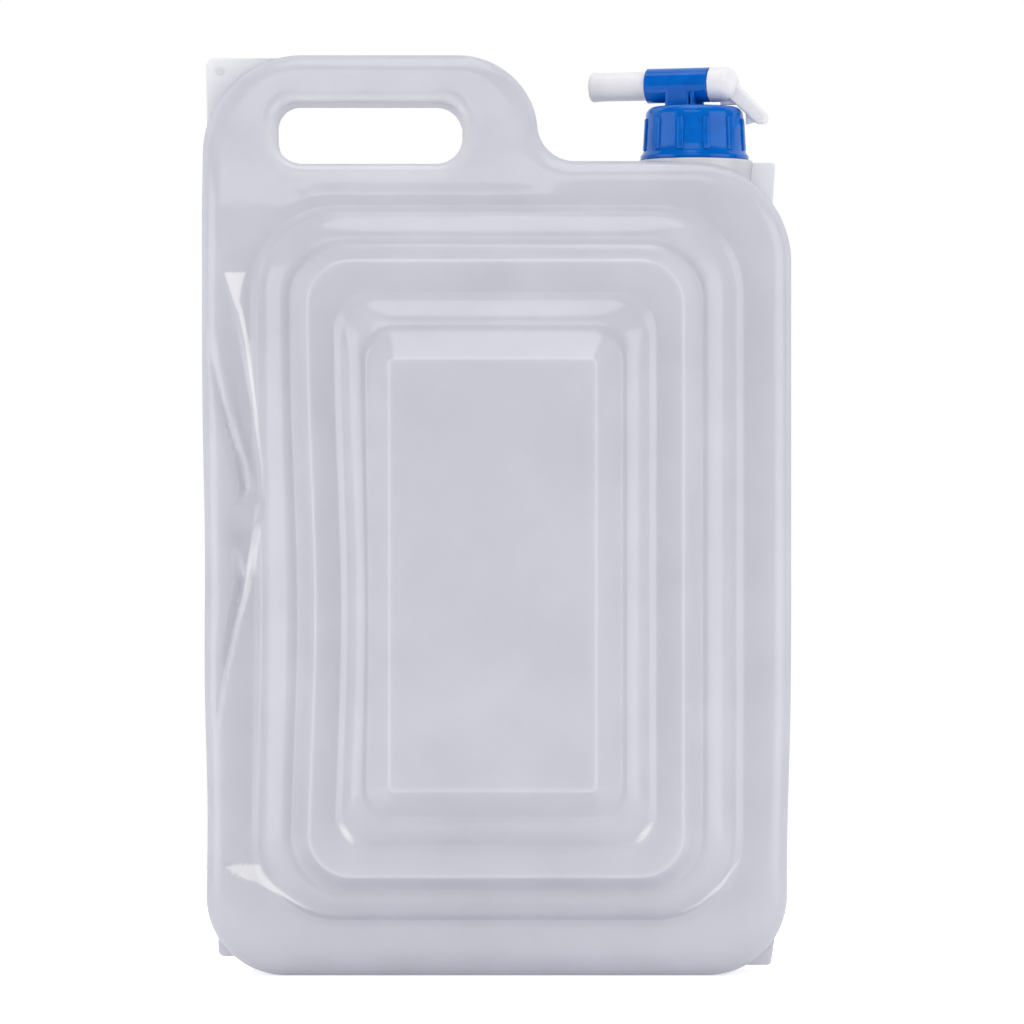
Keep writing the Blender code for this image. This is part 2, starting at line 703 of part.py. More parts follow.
def wing_rim(head):
    """The thick rim down the lever's sloping outer edge."""
    middle = head + HEAD_LENGTH / 2
    tip = middle + WING_REACH
    foot_share, side_share = WING_TIP_SHARES
    return (
        (middle, -WING_ROOT),
        (tip - WING_RIM, -WING_DROP),
        (tip - WING_RIM * foot_share, -WING_DROP),
        (tip, -WING_DROP + WING_RIM * side_share),
        (tip, -WING_DROP + WING_RIM),
        (middle + WING_SLOPE_REACH, WING_RIM_ROOT),
    )


def tap_plug(material):
    """Spout, rotor, head and lever wing in one moulding that turns in the barrel."""
    port = BARREL_LENGTH / 2 + BARREL_OFFSET - STEM_OFFSET
    bm = turned(plug_profile(port), SMALL_TURN_STEPS)
    bm.transform(Matrix.Rotation(math.radians(90), 4, "Y"))
    plug = add_object("tap_plug", bm, material)
    head = BARREL_LENGTH + GAP
    web = add_helper("lever_web", plate(wing_web(head), -WING_THICKNESS / 2, WING_THICKNESS))
    rim = add_helper("lever_rim", plate(wing_rim(head), -WING_RIM_WIDTH / 2, WING_RIM_WIDTH))
    hole = round_bar(PORT_RADIUS, ROTOR_RADIUS + OVERRUN, FINE_TURN_STEPS)
    bmesh.ops.translate(hole, vec=(port, 0, 0), verts=hole.verts)
    hole = add_helper("side_port", hole)
    for helper, operation in ((web, "UNION"), (rim, "UNION"), (hole, "DIFFERENCE")):
        helper.parent = plug
        combine(plug, helper, operation)
    start = along_tap(-BARREL_OFFSET - BARREL_LENGTH / 2)
    plug.location = (NECK_X + start.x, start.y, BARREL_AXIS_Z)
    plug.rotation_euler = (0, 0, -TAP_TURN)
    return plug


def main():
    clear_scene()
    milky = plastic("milky_polyethylene", (0.66, 0.66, 0.73), 0.35, alpha=0.75)
    blue = plastic("blue_polypropylene", (0.0, 0.09, 0.50), 0.30)
    white = plastic("white_polypropylene", (0.86, 0.86, 0.88), 0.35)
    foam = plastic("white_sealing_foam", (0.80, 0.80, 0.78), 0.80)
    half_band("front_band", milky, rear=False)
    half_band("rear_band", milky, rear=True)
    neck(milky)
    fold_ring("front_fold_ring", milky, rear=False)
    centre_panel("front_panel", milky, rear=False)
    fold_ring("rear_fold_ring", milky, rear=True)
    centre_panel("rear_panel", milky, rear=True)
    cap_gasket(foam)
    tap_cap(blue)
    tap_plug(white)


main()
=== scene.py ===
# %% [markdown]
# # A collapsible water carrier
# The carrier is one blow-moulded bottle of thin, milky polyethylene with a screw cap and a small tap.
# Its front and rear are stepped like a stage, so each step can drop into the next and the bottle folds flat.
# The moving parts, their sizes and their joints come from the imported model. This script gives them their
# finished skin: the soft mould radii, the creases that use has left, the parting line, the neck's thread,
# and the plastics themselves.

# %% Load the frame
import json
import math

import bmesh
import bpy
import numpy as np
from mathutils import Matrix, Vector

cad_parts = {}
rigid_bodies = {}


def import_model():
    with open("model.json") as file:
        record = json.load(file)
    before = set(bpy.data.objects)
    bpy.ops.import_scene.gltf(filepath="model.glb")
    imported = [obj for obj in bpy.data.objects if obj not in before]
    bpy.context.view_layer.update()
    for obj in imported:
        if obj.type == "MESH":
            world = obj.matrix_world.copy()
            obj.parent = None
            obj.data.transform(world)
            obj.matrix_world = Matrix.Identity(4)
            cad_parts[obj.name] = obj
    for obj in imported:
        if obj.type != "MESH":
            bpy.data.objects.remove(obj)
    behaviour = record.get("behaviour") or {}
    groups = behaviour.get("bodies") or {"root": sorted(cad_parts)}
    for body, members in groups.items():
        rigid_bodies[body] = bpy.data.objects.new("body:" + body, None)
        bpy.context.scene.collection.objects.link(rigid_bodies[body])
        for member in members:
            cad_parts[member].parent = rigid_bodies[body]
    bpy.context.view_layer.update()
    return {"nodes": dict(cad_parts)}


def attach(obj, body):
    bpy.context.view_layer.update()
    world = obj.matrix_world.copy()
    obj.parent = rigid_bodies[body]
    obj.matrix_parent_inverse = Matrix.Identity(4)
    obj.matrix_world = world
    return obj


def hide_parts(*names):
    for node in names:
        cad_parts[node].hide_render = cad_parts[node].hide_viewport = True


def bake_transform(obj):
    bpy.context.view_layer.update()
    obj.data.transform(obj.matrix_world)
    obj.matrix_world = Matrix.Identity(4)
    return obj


for leftover in list(bpy.data.objects):
    bpy.data.objects.remove(leftover, do_unlink=True)
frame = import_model()

# %% [markdown]
# ## Measures
# The mould drawings are in millimetres, so the script thinks in millimetres, and MM turns them into metres
# where a mesh is made. X runs to the right, Z up, and the front of the bottle faces -Y. "Depth" is the distance
# from the parting plane at Y 0 to a wall, on either side.

# %% Sizes of the bottle, in millimetres
MM = 0.001
HALF_WIDTH = 154.5
SHOULDER = 427.3
TOP = 484.6
HALF_DEPTH = 38.0
WALL = 1.4
NECK_X = 104.7
SPACING = 3.4  # usual distance between the points of an outline
# The outline's rounded corners: middle x, middle z, radius
HANDLE_CORNER = (-HALF_WIDTH + 51.5, TOP - 51.5, 51.5)
SHOULDER_CORNER = (HALF_WIDTH - 53.0, SHOULDER - 53.0, 53.0)
RIGHT_FOOT = (HALF_WIDTH - 44.0, 44.0, 44.0)
LEFT_FOOT = (-HALF_WIDTH + 44.0, 44.0, 44.0)
SLOT_LEFT, SLOT_RIGHT, SLOT_LOW, SLOT_HIGH = -116.2, -18.0, 425.8, 458.2

# %% [markdown]
# ## From a point to an outline
# The bottle seen from the front is a chain of straight runs and arcs. Each point of the chain also keeps the
# direction that leads out of the plastic there, because the rounded rim is made by stepping back along it.
# An arc that bulges into the bottle, as under the handle, has its direction turned round.

# %% Arcs and straight runs


def arc(centre_x, centre_z, radius, start, end, hollow=False, spacing=SPACING):
    """Rows of x, z, out x, out z along an arc between two angles in degrees."""
    steps = max(4, round(abs(math.radians(end - start)) * radius / spacing))
    angles = np.radians(np.linspace(start, end, steps + 1))
    out = np.stack([np.cos(angles), np.sin(angles)], axis=1)
    points = np.array([centre_x, centre_z]) + out * radius
    return np.hstack([points, -out if hollow else out])


def with_straights(arcs, spacing=SPACING):
    """Joins arcs end to end into one closed chain, and puts points along the straight runs between them."""
    chain = []
    for here, following in zip(arcs, arcs[1:] + arcs[:1]):
        chain.extend(here)
        start, end = here[-1], following[0]
        length = math.dist(start[:2], end[:2])
        if length < spacing / 2:
            chain.pop()
            continue
        count = max(1, round(length / spacing))
        for step in range(1, count):
            chain.append(start + (end - start) * step / count)
    return np.array(chain)


def bottle_chain():
    """The whole outline, anticlockwise from the lower left corner."""
    sweep_x, sweep_radius, hollow_radius = -20.4, 42.0, 20.0
    sweep_z, hollow_z = TOP - sweep_radius, SHOULDER + hollow_radius
    rise = hollow_z - sweep_z
    hollow_x = sweep_x + math.sqrt((sweep_radius + hollow_radius) ** 2 - rise**2)
    lean = math.degrees(math.atan2(rise, hollow_x - sweep_x))
    return with_straights(
        [
            arc(*LEFT_FOOT, 180, 270),
            arc(*RIGHT_FOOT, 270, 360),
            arc(*SHOULDER_CORNER, 0, 90),
            arc(hollow_x, hollow_z, hollow_radius, 270, 180 + lean, hollow=True, spacing=1.8),
            arc(sweep_x, sweep_z, sweep_radius, lean, 90, spacing=2.6),
            arc(*HANDLE_CORNER, 90, 180, spacing=2.6),
        ]
    )


def slot_chain():
    """The hand slot, with directions that lead into the plastic round it."""
    corners = (
        (SLOT_RIGHT - 13.5, SLOT_LOW + 13.5, 13.5),
        (SLOT_RIGHT - 14.5, SLOT_HIGH - 14.5, 14.5),
        (SLOT_LEFT + 12.5, SLOT_HIGH - 12.5, 12.5),
        (SLOT_LEFT + 14.5, SLOT_LOW + 14.5, 14.5),
    )
    starts = (-90, 0, 90, 180)
    return with_straights([arc(*corner, start, start + 90, spacing=1.6) for corner, start in zip(corners, starts)])


bottle_line = bottle_chain()
slot_line = slot_chain()
print("outline points:", len(bottle_line), "slot points:", len(slot_line))

# %% [markdown]
# ## How deep the band is
# The flat band keeps one depth round the body, and thins towards the top of the handle so that a hand closes
# round it. The change follows a smooth step, which has no visible start or end.

# %% Depth of the band


def smooth_step(value, start, end):
    """Runs from 0 to 1 between start and end, and levels out at both."""
    share = np.clip((np.asarray(value, float) - start) / (end - start), 0.0, 1.0)
    return share * share * (3 - 2 * share)


THINNING, THINS_UP, THINS_LEFT = 21.0, (394.0, 480.0), (6.0, 48.0)


def band_depth(x, z):
    """Half the band's thickness, which falls towards the top of the handle."""
    return HALF_DEPTH - THINNING * smooth_step(z, *THINS_UP) * (1 - smooth_step(x, *THINS_LEFT))


print("depth at the handle's top:", round(float(band_depth(-66.0, 480.0)), 1), "mm")

# %% [markdown]
# ## The folding steps
# From the band inwards the wall makes the same move twice: a rounded shoulder rises from a flat, meets a steep
# riser at a crease, and the riser ends in a small rounded edge. When the bottle folds, each riser flips over
# at its crease. The moves are drawn once as a line of distance and depth, then laid round rounded rectangles.
# Blow moulding can't leave a sharp corner, so the line is smoothed before use.

# %% The line of the steps


def soften(points, spread, always):
    """Rounds a chain's corners by a moving average. Keeps close points where it bends, wide ones elsewhere."""
    fine, reach, most_turn, most_left_out = 0.2, 15, 8.0, 8
    runs = np.concatenate([[0], np.cumsum(np.linalg.norm(np.diff(points, axis=0), axis=1))])
    even = np.arange(0, runs[-1], fine)
    line = np.stack([np.interp(even, runs, points[:, i]) for i in (0, 1)], axis=1)
    kernel = np.exp(-((np.arange(-reach, reach + 1) * fine / spread) ** 2) / 2)
    kernel /= kernel.sum()
    padded = np.pad(line, ((reach, reach), (0, 0)), mode="edge")
    soft = np.stack([np.convolve(padded[:, i], kernel, mode="valid") for i in (0, 1)], axis=1)
    ways = np.degrees(np.arctan2(*np.diff(soft, axis=0).T[::-1]))
    kept = [0]
    for index in range(1, len(ways)):
        if abs(ways[index] - ways[kept[-1]]) > most_turn or index - kept[-1] >= most_left_out:
            kept.append(index)
    kept += [int(np.argmin(abs(soft[:, 0] - distance))) for distance in always]
    return soft[sorted(set(kept + [len(soft) - 1]))]


def shoulder_line(start, width, base, height, foot_share):
    """A short steep foot with a tight edge, where folding has bent the wall, then a long round shoulder."""
    foot_width, foot = 3.6, foot_share * height
    points = [(start, base), (start + 1.6, base + foot * 0.55), (start + foot_width, base + foot)]
    for share in np.linspace(0.12, 1.0, 8):
        across = start + foot_width + (width - foot_width) * share
        rise = math.sin(math.radians(90) * share**0.9)
        points.append((across, base + foot + (height - foot) * rise))
    return points


# Distances inwards of the two creases and of the flats' edges, and the flats' depths
SEAMS = (18.5, 59.2)
TIER_EDGE, TIER_END, PANEL_EDGE = 30.2, 44.2, 74.9
TIER_DEPTH, PANEL_DEPTH = 66.0, 93.0


def step_line():
    """Distance inwards from the band's edge, and depth, in millimetres, with soft corners."""
    points = [(-7.0, HALF_DEPTH)] + shoulder_line(0.0, 21.0, HALF_DEPTH, 14.0, 0.11)
    points += [(24.0, 56.0), (TIER_EDGE, TIER_DEPTH), (TIER_END, TIER_DEPTH)]
    points += shoulder_line(TIER_END, 17.5, TIER_DEPTH, 12.0, 0.2)[1:]
    points += [(65.6, 82.3), (PANEL_EDGE, PANEL_DEPTH), (83.0, PANEL_DEPTH)]
    return soften(np.array(points), 0.6, SEAMS)


steps = step_line()
crease_rows = [int(np.argmin(abs(steps[:, 0] - u))) for u in SEAMS]
print("rows of the steps:", len(steps), "seams at rows", crease_rows, steps[crease_rows].round(1).tolist())

# %% Rounded rectangles to lay the line round

# Distance inwards, half width, half height, corner radius, middle x, middle z
RECTANGLES = np.array([
    (-10.0, 139.5, 197.5, 51.0, 0.0, 215.1),
    (0.0, 129.0, 188.0, 45.0, 0.0, 215.1),
    (30.0, 97.6, 159.6, 23.0, -0.6, 213.9),
    (44.2, 83.5, 144.5, 20.0, -0.9, 211.8),
    (62.0, 65.8, 124.8, 16.0, -1.4, 211.4),
    (74.9, 53.0, 110.6, 3.0, -1.8, 211.1),
    (90.0, 37.9, 94.0, 1.5, -1.8, 211.1),
])
CORNER_POINTS, LEVEL_POINTS, UPRIGHT_POINTS = 15, 34, 62


def look_up(table, at):
    """Every other column of a table, at a value of its first column, on straight lines between the rows."""
    return [np.interp(at, table[:, 0], column) for column in table.T[1:]]


def ring_at(distance, depth):
    """The points of one rounded rectangle, as x, y, z in millimetres on the front side."""
    half_w, half_h, corner, mid_x, mid_z = look_up(RECTANGLES, distance)
    right, up = half_w - corner, half_h - corner
    points = []
    quarters = ((1, 1, LEVEL_POINTS), (-1, 1, UPRIGHT_POINTS), (-1, -1, LEVEL_POINTS), (1, -1, UPRIGHT_POINTS))
    for quarter, (side, level, straight) in enumerate(quarters):
        angles = np.radians(90 * quarter + np.linspace(0, 90, CORNER_POINTS))
        turn = np.stack([side * right + corner * np.cos(angles), level * up + corner * np.sin(angles)], axis=1)
        next_side, next_level, _ = quarters[(quarter + 1) % 4]
        angle = math.radians(90 * (quarter + 1))
        end = np.array([next_side * right + corner * math.cos(angle), next_level * up + corner * math.sin(angle)])
        shares = np.linspace(0, 1, straight + 1)[1:-1, None]
        points += [turn, turn[-1] + (end - turn[-1]) * shares]
    flat = np.vstack(points)
    return np.stack([flat[:, 0] + mid_x, np.full(len(flat), -depth), flat[:, 1] + mid_z], axis=1)


print("points in a ring:", len(ring_at(0, 38)))

# %% [markdown]
# ## What use has done to the wall
# A carrier that has been folded keeps the marks: its left side pulls in a little at mid height, and the thin
# wall has sharp dents there. They are pushed into the finished surface point by point, by one function that
# every piece of the skin goes through, so neighbouring pieces still meet exactly.

# %% Bends and dents


def bell(value, middle, width):
    """One at the middle, and falling to nothing within about two widths."""
    return np.exp(-(((value - middle) / width) ** 2))


# A fold: place along it, where its line is, how wide its steep side is, how deep it drops, how far it fades
SIDE_FOLD = np.array([
    (120.0, -147.0, 2.5, 0.0, 10.0),
    (160.0, -142.0, 2.5, 1.4, 11.0),
    (183.0, -135.5, 2.5, 1.8, 12.0),
    (208.0, -131.5, 2.5, 2.1, 13.0),
    (231.0, -126.5, 3.0, 2.6, 14.0),
    (247.0, -122.6, 3.0, 2.8, 16.0),
    (265.0, -123.2, 3.0, 2.3, 18.0),
    (286.0, -124.6, 3.0, 2.0, 22.0),
    (300.0, -126.3, 3.0, 1.8, 24.0),
    (333.0, -130.6, 4.0, 1.5, 26.0),
    (350.0, -132.6, 6.0, 1.2, 26.0),
    (366.0, -131.4, 11.0, 0.8, 26.0),
    (384.0, -130.4, 13.0, 0.0, 26.0),
])
CORNER_FOLD = np.array([
    (-146.0, 60.0, 1.5, 0.0, 14.0),
    (-142.0, 58.6, 1.5, 0.5, 14.0),
    (-133.0, 54.0, 4.3, 1.1, 18.0),
    (-124.0, 49.5, 8.4, 1.6, 24.0),
    (-110.0, 42.4, 3.9, 1.6, 20.0),
    (-97.8, 36.2, 1.8, 1.3, 14.0),
    (-84.0, 32.5, 1.8, 0.5, 10.0),
    (-74.0, 31.0, 1.8, 0.0, 8.0),
])
# A groove: height, where its line is, how deep it is, how wide it is
UPPER_GROOVE = np.array([
    (246.0, -138.6, 0.0, 2.2),
    (250.0, -134.6, 1.0, 2.0),
    (256.0, -132.9, 1.8, 1.9),
    (268.0, -134.9, 2.0, 1.9),
    (283.0, -139.4, 2.0, 2.0),
    (301.0, -143.9, 1.6, 2.0),
    (323.5, -148.4, 0.8, 2.0),
    (345.0, -151.4, 0.0, 2.0),
])
LOWER_GROOVE = np.array([
    (128.0, -147.6, 0.0, 2.0),
    (150.0, -145.2, 1.0, 2.0),
    (174.4, -141.7, 2.0, 2.0),
    (207.0, -135.6, 2.2, 2.0),
    (216.0, -137.6, 1.4, 2.0),
    (226.0, -138.6, 0.0, 2.0),
])
lines = (SIDE_FOLD, CORNER_FOLD, UPPER_GROOVE, LOWER_GROOVE)
print("lengths of the folds and grooves, mm:", [float(line[-1, 0] - line[0, 0]) for line in lines])

# %% How far a fold or a groove drops
RIDGE_SHARE, RIDGE_OFF = 0.35, 2.4  # how high the ridge beside a groove is, of its depth, and how many widths off


def groove_drop(along, across, groove):
    """How deep a narrow groove is, with a low ridge on its right side."""
    line, drop, width = look_up(groove, along)
    off = (across - line) / width
    start, end = groove[0, 0], groove[-1, 0]
    ends = smooth_step(along, start, start + 4) * (1 - smooth_step(along, end - 4, end))
    return drop * (np.exp(-(off**2)) - RIDGE_SHARE * np.exp(-((off - RIDGE_OFF) ** 2))) * ends


def fold_drop(along, across, side, fold):
    """How far a sharp fold lets the wall drop beside its line."""
    line, steep, drop, fade = look_up(fold, along)
    beyond = (line - across) * side
    down = np.clip(beyond / steep, 0, 1)
    return drop * down * (1 - 0.55 * smooth_step(beyond, steep, fade))


print("drop beside the side fold:", round(float(fold_drop(247.0, -127.0, 1, SIDE_FOLD)), 1), "mm")

# %% From the mould's shape to the used one

# The pocket between the two folds, and the sides that are drawn in: how far, and each bell's middle and width
POCKET, POCKET_X, POCKET_Z = 2.2, (-135.0, 6.5), (234.0, 9.0)
STEPS_PULL, STEPS_PULL_Z = 4.5, (190.0, 95.0)
LEFT_PULLS = ((1.5, (218.0, 60.0)), (3.0, (80.0, 70.0)))
RIGHT_PULL, RIGHT_PULL_Z = 2.2, (60.0, 60.0)
REAR_SHARE = 0.4  # the rear wall follows the front's folds only so far


def used(points):
    """Moves points, in millimetres, from the mould's shape to the shape of the used bottle."""
    x, y, z = points.T.copy()
    face = np.where(y < 0, 1.0, REAR_SHARE) * smooth_step(np.abs(y), 4.0, 24.0)
    drop = fold_drop(z, x, 1, SIDE_FOLD) + fold_drop(x, z, -1, CORNER_FOLD)
    drop = drop + groove_drop(z, x, UPPER_GROOVE) + groove_drop(z, x, LOWER_GROOVE)
    drop = drop + POCKET * bell(x, *POCKET_X) * bell(z, *POCKET_Z)
    y = y - np.sign(y) * drop * face
    beside_steps = smooth_step(x, -150.0, -105.0) * (1 - smooth_step(x, -88.0, -50.0))
    x = x + STEPS_PULL * bell(z, *STEPS_PULL_Z) * beside_steps
    left = 1 - smooth_step(x, -154.0, -120.0)
    x = x + left * sum(far * bell(z, *place) for far, place in LEFT_PULLS)
    x = x - RIGHT_PULL * smooth_step(x, 120.0, 154.0) * bell(z, *RIGHT_PULL_Z)
    return np.stack([x, y, z], axis=1)


print("left side at mid height, x:", used(np.array([[-HALF_WIDTH, 0.0, 218.0]]))[0, 0].round(1), "mm")

# %% [markdown]
# ### White from bending, and painted light
# Polyethylene turns white where it has been bent hard, because tiny voids open in it. The marks are narrow and
# have clear edges: two streaks beside the crumpled left side, with a triangle at the top one's end, and a tapering
# mark at the left lower corner, which are partly that white and partly painted highlight. The tapering mark at the
# right lower corner and a crescent under each lower corner of the second shoulder are painted highlights. Fainter
# painted highlights run along the flats' edges, and fainter painted light round the slot's rim lightens its shade.
# The result is stored on the points, from 0 to 1, where the material picks it up.

# %% Lines and widths of the marks

# The two streaks, with the triangle, and the left corner's mark are partly white from bending and partly painted
# highlight.
# Height, middle of the streak, half width, strength
LEFT_STREAK = np.array([
    (249.0, -123.6, 0.5, 0.2),
    (268.0, -123.9, 0.8, 0.6),
    (288.0, -126.0, 1.0, 0.8),
    (305.5, -127.5, 0.9, 0.9),
    (331.0, -130.2, 1.1, 1.0),
    (347.0, -133.6, 1.3, 1.0),
    (354.0, -136.0, 1.7, 1.0),
    (362.0, -136.6, 3.6, 1.0),
    (368.5, -136.7, 5.7, 1.0),
])
LOWER_STREAK = np.array([
    (150.0, -145.0, 0.6, 0.0),
    (184.0, -137.2, 1.3, 0.4),
    (199.5, -132.8, 1.7, 0.6),
    (215.5, -129.8, 2.0, 0.7),
    (232.0, -127.6, 2.2, 0.6),
    (237.0, -126.4, 1.2, 0.2),
])
# Place from left to right, middle height, half height, strength
LEFT_CORNER_MARK = np.array([
    (-143.3, 57.9, 0.2, 1.0),
    (-138.3, 56.8, 2.4, 1.0),
    (-132.2, 55.6, 3.8, 1.0),
    (-126.0, 54.7, 4.5, 1.0),
    (-124.0, 54.0, 4.9, 1.0),
    (-122.7, 52.1, 3.8, 1.0),
    (-121.3, 50.7, 3.1, 1.0),
    (-117.2, 47.2, 2.0, 1.0),
    (-111.1, 43.6, 1.2, 1.0),
    (-104.3, 39.4, 0.8, 0.9),
    (-98.5, 36.4, 0.5, 0.5),
])
# The right corner's mark is a painted highlight on the first shoulder's lower right corner.
RIGHT_CORNER_HIGHLIGHT = np.array(
    [(96.0, 34.6, 0.5, 0.4), (106.0, 39.4, 1.0, 0.8), (117.0, 48.6, 1.7, 0.9), (127.0, 61.7, 0.8, 0.5)]
)
# The crescents, which are painted highlights: middle of their arc, its radius, where they are thickest, how far they
# reach, half their width
CRESCENT_MIDDLE, CRESCENT_X, CRESCENT_Z, CRESCENT_RADIUS = -0.9, 64.4, 87.3, 16.6
CRESCENT_TURN, CRESCENT_REACH, CRESCENT_HALF = 38.0, 36.0, 1.5
# Strength of the painted highlight along the flats' edges, and strength and fade distances of the painted light round
# the slot
EDGE_HIGHLIGHT, SLOT_PAINTED_LIGHT, SLOT_FADE = 0.32, 0.34, (2.0, 8.0)
FRONT = -8.0  # a point with a smaller y is on the front half
print("length of the upper streak:", LEFT_STREAK[-1, 0] - LEFT_STREAK[0, 0], "mm")

# %% How white a point is


def streak(along, across, table):
    """How white a streak is, with edges about a millimetre soft."""
    middle, half, strength = look_up(table, along)
    ends = (along >= table[0, 0]) & (along <= table[-1, 0])
    return strength * ends * (1 - smooth_step(np.abs(across - middle), half - 0.6, half + 0.5))


def off_rectangle(x, z, middle, half, corner):
    """Distance from the outline of a rounded rectangle, below zero inside it."""
    over_x = np.abs(x - middle[0]) - (half[0] - corner)
    over_z = np.abs(z - middle[1]) - (half[1] - corner)
    outside = np.hypot(np.maximum(over_x, 0), np.maximum(over_z, 0))
    return outside + np.minimum(np.maximum(over_x, over_z), 0) - corner


def edge_highlight(x, z, distance):
    """A painted highlight: the thin pale line along the edge of a flat."""
    half_w, half_h, corner, mid_x, mid_z = look_up(RECTANGLES, distance)
    off = off_rectangle(x, z, (mid_x, mid_z), (half_w, half_h), corner)
    return EDGE_HIGHLIGHT * (1 - smooth_step(np.abs(off), 0.2, 1.1))


def crescent(x, z, side):
    """The painted highlight of the crescent at one lower corner of the second shoulder, thickest in mid turn."""
    across, down = (x - CRESCENT_MIDDLE) * side - CRESCENT_X, CRESCENT_Z - z
    turn = np.degrees(np.arctan2(down, across))
    thick = np.clip(1 - np.abs(turn - CRESCENT_TURN) / CRESCENT_REACH, 0, 1)
    half = CRESCENT_HALF * thick
    shape = 1 - smooth_step(np.abs(np.hypot(across, down) - CRESCENT_RADIUS), half - 0.3, half + 0.5)
    near = smooth_step(-z, -96.0, -84.0) * (1 - smooth_step(np.abs(x), 84.0, 90.0))
    return shape * (thick > 0) * near * (x * side > 0)


def slot_rim_light(x, z):
    """Painted light round the hand slot, fainter than the marks, which lightens its shaded rim."""
    middle = ((SLOT_LEFT + SLOT_RIGHT) / 2, (SLOT_LOW + SLOT_HIGH) / 2)
    half = ((SLOT_RIGHT - SLOT_LEFT) / 2, (SLOT_HIGH - SLOT_LOW) / 2)
    return SLOT_PAINTED_LIGHT * (1 - smooth_step(off_rectangle(x, z, middle, half, 13.5), *SLOT_FADE))


def stress_white_and_painted_light(points):
    """How white points of the mould's shape are, from 0 to 1: from bending, and from painted highlights and painted
    light.
    """
    x, y, z = points.T
    marks = [streak(z, x, LEFT_STREAK), streak(z, x, LOWER_STREAK)]
    marks += [streak(x, z, LEFT_CORNER_MARK), streak(x, z, RIGHT_CORNER_HIGHLIGHT)]
    marks += [crescent(x, z, -1), crescent(x, z, 1)]
    marks = [mark * (y < FRONT) for mark in marks]
    marks.append(edge_highlight(x, z, TIER_EDGE) * (np.abs(y) > TIER_DEPTH - 4))
    marks.append(edge_highlight(x, z, PANEL_EDGE) * (np.abs(y) > PANEL_DEPTH - 4))
    marks.append(slot_rim_light(x, z))
    return np.max(marks, axis=0)


print("whitened at the triangle:", stress_white_and_painted_light(np.array([[-136.0, -38.0, 366.0]])).round(2))

# %% [markdown]
# ## Sheets from loops
# A thin wall is made as a loop of edges that is extruded again and again, each time to the next row of points.
# Every vertex carries its place in the loop as a number, and the extrusion copies that number to the new
# vertex, so the script always knows which point of the next row is meant.

# %% Extruding a loop through rows


def start_loop(bm, row):
    """A closed loop of edges through a row of points in millimetres."""
    place = bm.verts.layers.int.get("place") or bm.verts.layers.int.new("place")
    verts = [bm.verts.new(Vector(point) * MM) for point in row]
    for index, vert in enumerate(verts):
        vert[place] = index
    return [bm.edges.new((a, b)) for a, b in zip(verts, verts[1:] + verts[:1])]


def extrude_rows(bm, edges, rows):
    """Extrudes a loop of edges to each row in turn and returns the last loop's edges."""
    place = bm.verts.layers.int["place"]
    for row in rows:
        made = bmesh.ops.extrude_edge_only(bm, edges=edges)["geom"]
        edges = [item for item in made if isinstance(item, bmesh.types.BMEdge)]
        for vert in {vert for edge in edges for vert in edge.verts}:
            vert.co = Vector(row[vert[place]]) * MM
        ends = {vert for edge in edges for vert in edge.verts}
        edges = [edge for edge in edges if len(edge.link_faces) == 1 and ends.issuperset(edge.verts)]
        edges = [edge for edge in edges if abs(edge.verts[0][place] - edge.verts[1][place]) > 0]
    return edges


# %% From a bmesh to an object


def as_object(bm, name, material):
    """Turns a bmesh into an object with one material."""
    mesh = bpy.data.meshes.new(name)
    bm.to_mesh(mesh)
    bm.free()
    mesh.materials.append(material)
    piece = bpy.data.objects.new(name, mesh)
    bpy.context.collection.objects.link(piece)
    return piece


def finish_mesh(bm, name, material, smooth_angle=50.0):
    """A smooth object, with sharp edges at its borders and where its faces meet at more than an angle."""
    borders = [edge.index for edge in bm.edges if edge.is_boundary]
    piece = as_object(bm, name, material)
    piece.data.shade_smooth()
    piece.data.set_sharp_from_angle(angle=math.radians(smooth_angle))
    for index in borders:
        piece.data.edges[index].use_edge_sharp = True
    return piece


# %% [markdown]
# ## Milky polyethylene
# Blow-moulded low-density polyethylene scatters light inside its thin wall, so it looks white where light falls
# on it and glows a little where light comes from behind. The shader mixes a satin plastic with a translucent
# layer. A slow change of tone, in clouds about 36 mm across, stands for uneven wall thickness. A ripple of about
# 18 mm and a grain stand for the skin that the mould leaves. The real grain, from the mould's blasted surface,
# is about 0.2 mm. It is drawn at about 1 mm, because a finer one doesn't show. Where the points carry white from
# bending, painted highlights and painted light, the tone turns towards white. The thick neck and the doubled ears
# carry some of that white too, as painted light that lifts their shade.

# %% Colours and node helpers


def linear(hex_colour):
    """A colour as written in a paint list, turned into the linear values that shaders use."""
    channels = [int(hex_colour[i : i + 2], 16) / 255 for i in (1, 3, 5)]
    return tuple(c / 12.92 if c <= 0.04045 else ((c + 0.055) / 1.055) ** 2.4 for c in channels) + (1.0,)


def add_node(tree, kind, links=None, **values):
    """Adds a node, sets its inputs or properties by name, and links the inputs given in links."""
    node = tree.nodes.new(kind)
    for key, value in values.items():
        if key in node.inputs:
            node.inputs[key].default_value = value
        else:
            setattr(node, key, value)
    for key, socket in (links or {}).items():
        tree.links.new(socket, node.inputs[key])
    return node


def new_material(name):
    """A material without nodes, and its node tree."""
    material = bpy.data.materials.new(name)
    material.use_nodes = True
    material.node_tree.nodes.clear()
    return material, material.node_tree


# %% The bottle's material


